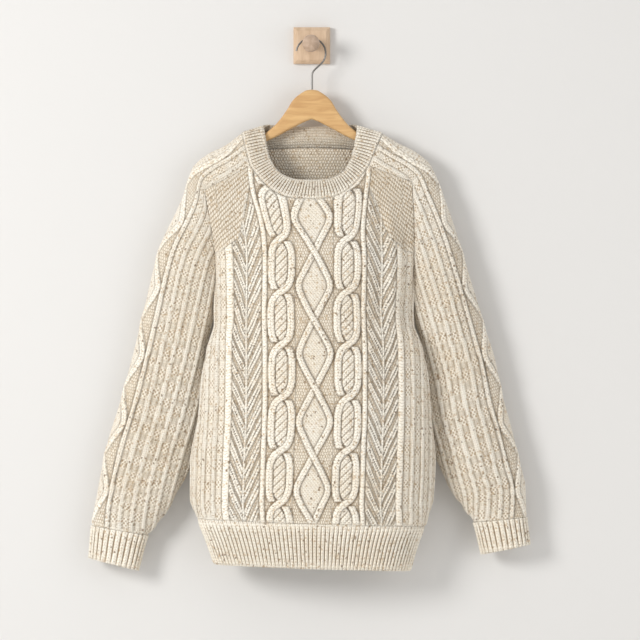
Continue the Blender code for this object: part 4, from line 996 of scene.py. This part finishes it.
def ridge_level(x):
    """The lower of the two shoulders at this distance from the middle."""
    return min(np.interp(abs(x), abs(rows["outer_x"][:5]), rows["outer_z"][:5]) for rows in SLEEVES.values())


def hanger_top(x):
    under_cloth = ridge_level(x) - WALL / math.cos(math.radians(SHOULDER_SLOPE)) - HANGER_GAP
    at_neck = float(smooth(abs(x), *np.array(HANGER_NECK).T))
    blend = np.clip((abs(x) - HANGER_NECK[-1][0]) / HANGER_BLEND, 0, 1)
    return at_neck * (1 - blend) + under_cloth * blend


def finish_mesh(node, bm, material, smooth_angle):
    bmesh.ops.recalc_face_normals(bm, faces=bm.faces)
    mesh = bpy.data.meshes.new(node + "_detail")
    bm.to_mesh(mesh)
    bm.free()
    mesh.shade_smooth()
    mesh.set_sharp_from_angle(angle=math.radians(smooth_angle))
    return link(bpy.data.objects.new(node + "_detail", mesh), material, node)


def make_hanger(material):
    """Wooden arms: rounded upright sections along the span, narrower towards the tips."""
    bm = bmesh.new()
    rings = []
    for x in np.linspace(-HANGER_HALF_SPAN, HANGER_HALF_SPAN, 2 * FINE_STEPS + 1):
        from_tip = HANGER_HALF_SPAN - abs(x)
        rounding = math.sqrt(1 - max(0.0, 1 - (from_tip + 1.0) / HANGER_TIP) ** 2)
        top, bottom = hanger_top(x), float(smooth(abs(x), *np.array(HANGER_UNDERSIDE).T))
        middle, half_height = (top + bottom) / 2, (top - bottom) / 2 * rounding
        half_thick = HANGER_THICK / 2 * rounding
        ring = []
        for k in range(FINE_SIDES):
            angle = 2 * math.pi * (k + 0.5) / FINE_SIDES
            across, upward = (
                math.copysign(abs(value) ** power, value)
                for value, power in zip((math.cos(angle), math.sin(angle)), HANGER_SQUARENESS)
            )
            flat = math.copysign(max(half_height - half_thick, 0.0), upward)
            z = middle + flat + half_thick * upward * min(1.0, half_height / half_thick)
            ring.append(bm.verts.new((x * MM, (HANGER_Y + half_thick * across) * MM, z * MM)))
        rings.append(ring)
    for a, b in zip(rings, rings[1:]):
        for k in range(FINE_SIDES):
            bm.faces.new((a[k], a[(k + 1) % FINE_SIDES], b[(k + 1) % FINE_SIDES], b[k]))
    bm.faces.new(rings[0])
    bm.faces.new(rings[-1])
    return finish_mesh("hanger_body", bm, material, 50)


def make_plate(material):
    """A square wooden plate with broad bevels on its front and a softened rim."""
    bm = bmesh.new()
    bmesh.ops.create_cube(bm, size=1.0)
    bmesh.ops.scale(bm, verts=bm.verts, vec=(PLATE_SIDE * MM, PLATE_THICK * MM, PLATE_SIDE * MM))
    bmesh.ops.translate(bm, verts=bm.verts, vec=(0, -PLATE_THICK / 2 * MM, 0))
    front = -(PLATE_THICK - 0.1) * MM
    edges = [e for e in bm.edges if all(v.co.y < front for v in e.verts)]
    bmesh.ops.bevel(bm, geom=edges, offset=PLATE_BEVEL * MM, segments=1, profile=0.5, affect="EDGES")
    sharp = [e for e in bm.edges if e.calc_face_angle(0) > 0.3 and e.verts[0].co.y < -0.001]
    bmesh.ops.bevel(bm, geom=sharp, offset=RIM_BEVEL * MM, segments=3, profile=0.5, affect="EDGES")
    return finish_mesh("wall_plate", bm, material, 60)


def make_knob(material):
    """A turned peg: a stem that the hook lies on, and a round end that keeps it there."""
    base = -PLATE_THICK - PART_GAP
    swell = np.radians(np.linspace(-58, 90, 40))
    profile = [(0.0, base), (KNOB_STEM_RADIUS, base), (KNOB_STEM_RADIUS, KNOB_NECK_Y)]
    ball = zip(KNOB_RADIUS * np.cos(swell[1:-1]), KNOB_MIDDLE_Y - KNOB_HALF_DEPTH * np.sin(swell[1:-1]))
    profile += [*ball, (0.0, KNOB_MIDDLE_Y - KNOB_HALF_DEPTH)]
    cx, cz = KNOB_CENTRE
    bm = bmesh.new()
    rings = []
    for radius, y in profile:
        turns = [2 * math.pi * k / KNOB_SIDES for k in range(KNOB_SIDES if radius else 1)]
        places = [(cx + radius * math.cos(t), y, cz + radius * math.sin(t)) for t in turns]
        rings.append([bm.verts.new([MM * value for value in place]) for place in places])
    for a, b in zip(rings, rings[1:]):
        for k in range(KNOB_SIDES):
            corners = [a[k % len(a)], a[(k + 1) % len(a)], b[(k + 1) % len(b)], b[k % len(b)]]
            bm.faces.new(list(dict.fromkeys(corners)))
    return finish_mesh("wall_knob", bm, material, 50)


# Materials

def node(tree, kind, inputs=(), **settings):
    """A shader node; inputs maps names or places of sockets to values, sockets or Numbers."""
    made = tree.nodes.new(kind)
    for name, value in settings.items():
        setattr(made, name, value)
    for name, value in dict(inputs).items():
        value = getattr(value, "socket", value)
        if isinstance(value, bpy.types.NodeSocket):
            tree.links.new(value, made.inputs[name])
        else:
            made.inputs[name].default_value = value
    return made


class Number:
    """A number of a shader, whose sums, products and powers are maths nodes."""

    def __init__(self, tree, socket):
        self.tree = tree
        self.socket = socket

    def maths(self, operation, *others):
        made = node(self.tree, "ShaderNodeMath", dict(enumerate((self, *others))), operation=operation)
        return Number(self.tree, made.outputs[0])

    def __add__(self, other):
        return self.maths("ADD", other)

    def __sub__(self, other):
        return self.maths("SUBTRACT", other)

    def __mul__(self, other):
        return self.maths("MULTIPLY", other)

    def __pow__(self, other):
        return self.maths("POWER", other)

    def between(self, low, high):
        """Its way from low to high, kept within 0 and 1."""
        made = node(self.tree, "ShaderNodeMapRange", {"Value": self, "From Min": low, "From Max": high})
        return Number(self.tree, made.outputs[0])


def attribute(tree, name):
    return Number(tree, node(tree, "ShaderNodeAttribute", attribute_name=name).outputs["Fac"])


def noise(tree, place, scale, detail=3.0, output=0, distortion=0.0):
    inputs = {"Vector": place, "Scale": scale, "Detail": detail, "Distortion": distortion}
    return Number(tree, node(tree, "ShaderNodeTexNoise", inputs).outputs[output])


def vector(tree, operation, first, second):
    inputs = {0: first, "Scale" if operation == "SCALE" else 1: second}
    return node(tree, "ShaderNodeVectorMath", inputs, operation=operation).outputs[0]


def parts_of(tree, whole):
    """The first two numbers of a vector or colour."""
    split = node(tree, "ShaderNodeSeparateXYZ", {0: whole})
    return Number(tree, split.outputs[0]), Number(tree, split.outputs[1])


def mixed(tree, share, first, second):
    """A number between two others."""
    made = node(tree, "ShaderNodeMix", {0: share, 2: first, 3: second}, data_type="FLOAT")
    return Number(tree, made.outputs[0])


def layered(tree, colour, layers):
    """A colour with others laid over it, each by its share."""
    for share, tone in layers:
        colour = node(tree, "ShaderNodeMix", {0: share, 6: colour, 7: tone}, data_type="RGBA").outputs[2]
    return colour


def new_material(name):
    made = bpy.data.materials.new(name)
    made.use_nodes = True
    made.node_tree.nodes.clear()
    place = node(made.node_tree, "ShaderNodeTexCoord").outputs["Object"]
    return made, made.node_tree, place


def surface(tree, colour, roughness, height, bump_depth, strength=1.0, **settings):
    """A finish whose bumps are this deep, in metres; settings are names of its other sockets."""
    bump = node(tree, "ShaderNodeBump", {"Strength": strength, "Distance": bump_depth, "Height": height})
    inputs = {"Base Color": colour, "Roughness": roughness, "Normal": bump.outputs[0]}
    inputs.update({name.replace("_", " "): value for name, value in settings.items()})
    return node(tree, "ShaderNodeBsdfPrincipled", inputs).outputs[0]


YARN_LIGHT = (0.99, 0.945, 0.85, 1)
YARN_DEEP = (0.90, 0.80, 0.65, 1)
# painted shade: the colour laid between stitches and over purl and moss, standing in for the shade in the
# knitting's gaps
YARN_PAINTED_SHADE = (0.41, 0.315, 0.205, 1)
YARN_PAINTED_HOLLOW_SHADE = (0.27, 0.185, 0.10, 1)
FLECK_TAN = (0.55, 0.38, 0.21, 1)
FLECK_BROWN = (0.22, 0.145, 0.085, 1)
LEG_SLANT = 0.55  # how far a knitted stitch's legs rise over half its width, in rows
YARN_WOBBLE = 0.8  # how far the stitches wander, in stitches
FLECK_BEND = 0.008  # and the flecks' outlines, in metres for each stitch of that
FLECK_SCALE = 245.0  # cells to a metre, of which some are flecks


def stitch_height(tree, wale, course):
    """Height of single stitches: slanted legs where knitted, rounded bars where purled, dots in moss."""
    leg = (wale.maths("FRACT") * 2.0 - 1.0).maths("ABSOLUTE")
    along_leg = ((course - leg * LEG_SLANT).maths("FRACT") * math.pi).maths("SINE")
    across_leg = leg**4.0 * -1.0 + 1.0
    knit = (along_leg * across_leg) ** 0.5
    bar = (course.maths("FRACT") * math.pi).maths("SINE")
    beads = ((wale + course.maths("FLOOR") * 0.5) * (2 * math.pi)).maths("COSINE")
    purl = bar**0.6 * (beads * 0.42 + 0.58)
    moss = (wale * math.pi).maths("SINE") * (course * math.pi).maths("SINE") * 0.75 + 0.45
    return mixed(tree, attribute(tree, "moss"), mixed(tree, attribute(tree, "purl"), knit, purl), moss)


def wool_material(name, bump_depth, hollow_shade_reach):
    """Undyed tweed wool: heathered yarn with tan and brown flecks, with painted shade between its stitches
    and in the hollows between its cords.
    """
    made, tree, place = new_material(name)
    uv = node(tree, "ShaderNodeUVMap", uv_map="Knit").outputs[0]
    centred = vector(tree, "SUBTRACT", noise(tree, place, 160.0, 2.0, "Color"), (0.5, 0.5, 0.5))
    wobble = vector(tree, "SCALE", centred, YARN_WOBBLE)
    height = stitch_height(tree, *parts_of(tree, vector(tree, "ADD", uv, wobble)))
    strewn = vector(tree, "ADD", place, vector(tree, "SCALE", wobble, FLECK_BEND))
    cells = node(tree, "ShaderNodeTexVoronoi", {"Vector": strewn, "Scale": FLECK_SCALE, "Randomness": 1.0})
    spot = Number(tree, cells.outputs["Distance"]).between(0.55, 0.25)
    tan_chance, brown_chance = parts_of(tree, cells.outputs["Color"])
    layers = [
        (noise(tree, place, 420.0).between(0.38, 0.66), YARN_LIGHT),
        (noise(tree, place, 14.0, 2.0).between(0.35, 0.75), YARN_LIGHT),
        (noise(tree, strewn, 95.0).between(0.61, 0.72) * 0.5, FLECK_TAN),
        (tan_chance.between(0.76, 0.82) * spot * 0.75, FLECK_TAN),
        (brown_chance.between(0.93, 0.945) * spot * 0.9, FLECK_BROWN),
        # painted shade: purl and moss areas and the low parts of every stitch are darkened as if shaded
        (attribute(tree, "purl") * 0.22, YARN_PAINTED_SHADE),
        (attribute(tree, "moss") * 0.12, YARN_PAINTED_SHADE),
        (height.between(0.55, 0.1) * 0.85, YARN_PAINTED_SHADE),
        # painted shade: hollows between cords are darkened as if shaded
        (attribute(tree, "hollow_shade").between(0.0, hollow_shade_reach) * 0.9, YARN_PAINTED_HOLLOW_SHADE),
    ]
    colour = layered(tree, YARN_DEEP, layers)
    fuzzy = noise(tree, place, 1100.0, 2.0) * 0.35 + height
    sheen = {"Sheen_Weight": 0.25, "Sheen_Roughness": 0.6, "Specular_IOR_Level": 0.15}
    shaded = surface(tree, colour, 0.93, fuzzy, bump_depth * MM, **sheen)
    node(tree, "ShaderNodeOutputMaterial", {"Surface": shaded})
    return made


def wood_material(name, light, dark, grain_axis_scale, roughness):
    """Fine-grained wood: long bands, short pores and a satin surface."""
    made, tree, place = new_material(name)
    along = vector(tree, "MULTIPLY", place, grain_axis_scale)
    bands = noise(tree, along, 1.0, 4.0, distortion=0.6).between(0.35, 0.65)
    pores = noise(tree, vector(tree, "SCALE", along, 5.0), 1.0)
    colour = layered(tree, dark, [(bands, light), (pores.between(0.60, 0.72) * 0.4, dark)])
    shaded = surface(tree, colour, pores * 0.15 + roughness, pores, 0.15 * MM, 0.3, Specular_IOR_Level=0.4)
    node(tree, "ShaderNodeOutputMaterial", {"Surface": shaded})
    return made


def steel_material():
    """Plated wire with faint drawing marks."""
    made, tree, place = new_material("steel_wire_finish")
    marks = noise(tree, place, 900.0)
    colour = layered(tree, (0.13, 0.125, 0.12, 1), [(marks, (0.24, 0.235, 0.225, 1))])
    shaded = surface(tree, colour, marks * 0.2 + 0.38, marks, 0.05 * MM, 0.2, Metallic=1.0)
    node(tree, "ShaderNodeOutputMaterial", {"Surface": shaded})
    return made


WOODS = {  # light and dark of the grain, how fine it is along each axis, and roughness
    "beech_finish": ((0.70, 0.45, 0.205, 1), (0.54, 0.31, 0.13, 1), (18.0, 120.0, 120.0), 0.32),
    "pale_wood_finish": ((0.66, 0.49, 0.345, 1), (0.55, 0.39, 0.26, 1), (130.0, 130.0, 22.0), 0.5),
    "worn_wood_finish": ((0.52, 0.385, 0.29, 1), (0.40, 0.285, 0.205, 1), (130.0, 22.0, 130.0), 0.55),
}


# The room: a wall that shows from its front only, a floor, soft light and the camera

WALL_SIZE = 9.0
FLOOR_LEVEL = -1.75
CAMERA_DISTANCE = 7.0
SENSOR_WIDTH = 36.0
PICTURE_WIDTH = 0.992  # what the photograph spans at the garment
PICTURE_MIDDLE = (0.0128, -0.428)
GARMENT_DEPTH = -0.05
WALL_BACK = 0.0006  # the painted wall lies this far behind the part
WALL_COLOUR = (0.70, 0.692, 0.682, 1)
FLOOR_COLOUR = (0.80, 0.79, 0.77, 1)
WORLD_COLOUR = (1.0, 0.995, 0.985, 1)
WORLD_STRENGTH = 0.60
LIGHT_TARGET = (0.0, -0.05, -0.42)
LIGHTS = {  # place, size, watts and colour
    "window": ((-2.5, -2.6, 0.45), 1.3, 83.0, (1.0, 0.99, 0.97)),
    "fill": ((2.2, -2.2, -0.4), 2.2, 17.0, (1.0, 0.99, 0.98)),
    "behind": ((0.6, 2.4, 0.6), 2.0, 18.0, (1.0, 1.0, 1.0)),
}


def stage_plane(name, corners, colour, one_sided):
    mesh = bpy.data.meshes.new(name)
    mesh.from_pydata(corners, [], [(0, 1, 2, 3)])
    made = bpy.data.objects.new(name, mesh)
    bpy.context.scene.collection.objects.link(made)
    material, tree, place = new_material(name)
    shaded = surface(tree, colour, 0.8, noise(tree, place, 300.0), 0.5 * MM, 0.1)
    if one_sided:
        clear = node(tree, "ShaderNodeBsdfTransparent").outputs[0]
        behind = node(tree, "ShaderNodeNewGeometry").outputs["Backfacing"]
        shaded = node(tree, "ShaderNodeMixShader", {0: behind, 1: shaded, 2: clear}).outputs[0]
        made.visible_shadow = False
    node(tree, "ShaderNodeOutputMaterial", {"Surface": shaded})
    mesh.materials.append(material)


def area_light(name, place, size, watts, colour):
    data = bpy.data.lights.new(name, "AREA")
    data.shape = "DISK"
    data.size = size
    data.energy = watts
    data.color = colour
    made = bpy.data.objects.new(name, data)
    made.location = place
    direction = Vector(LIGHT_TARGET) - Vector(place)
    made.rotation_euler = direction.to_track_quat("-Z", "Y").to_euler()
    bpy.context.scene.collection.objects.link(made)


def make_room():
    half = WALL_SIZE / 2
    corners = ((-half, -half), (half, -half), (half, half), (-half, half))
    wall = [(x, WALL_BACK, max(z, FLOOR_LEVEL)) for x, z in corners]
    stage_plane("backdrop", wall, WALL_COLOUR, one_sided=True)
    stage_plane("floor", [(x, y, FLOOR_LEVEL) for x, y in corners], FLOOR_COLOUR, one_sided=False)
    for name, settings in LIGHTS.items():
        area_light(name, *settings)
    world = bpy.data.worlds.new("studio")
    world.use_nodes = True
    background = world.node_tree.nodes["Background"].inputs
    background["Color"].default_value = WORLD_COLOUR
    background["Strength"].default_value = WORLD_STRENGTH
    bpy.context.scene.world = world
    bpy.context.scene.view_settings.view_transform = "Standard"


def make_camera():
    data = bpy.data.cameras.new("camera")
    data.sensor_width = SENSOR_WIDTH
    data.lens = SENSOR_WIDTH * CAMERA_DISTANCE / PICTURE_WIDTH
    made = bpy.data.objects.new("camera", data)
    x, z = PICTURE_MIDDLE
    made.location = (x, GARMENT_DEPTH - CAMERA_DISTANCE, z)
    made.rotation_euler = (math.pi / 2, 0.0, 0.0)
    bpy.context.scene.collection.objects.link(made)
    bpy.context.scene.camera = made


def main():
    make_camera()
    make_room()
    wool = wool_material("wool_finish", 1.0, 0.9)
    rib_wool = wool_material("wool_rib_finish", 0.9, 0.35)
    for face, spacing in (("front", GRID), ("back", BACK_GRID)):
        make_panel(face, spacing, wool)
        make_hem(face, rib_wool)
    for side, name in ((-1, "left"), (1, "right")):
        make_sleeve(side, wool)
        make_cuff(side, rib_wool)
    make_neckband(wool_material("wool_neck_finish", 1.0, 0.16))
    beech, pale, worn = (wood_material(name, *settings) for name, settings in WOODS.items())
    make_hanger(beech)
    make_plate(pale)
    make_knob(worn)
    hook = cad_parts["hanger_hook"]
    hook.data.materials.clear()
    hook.data.materials.append(steel_material())


main()
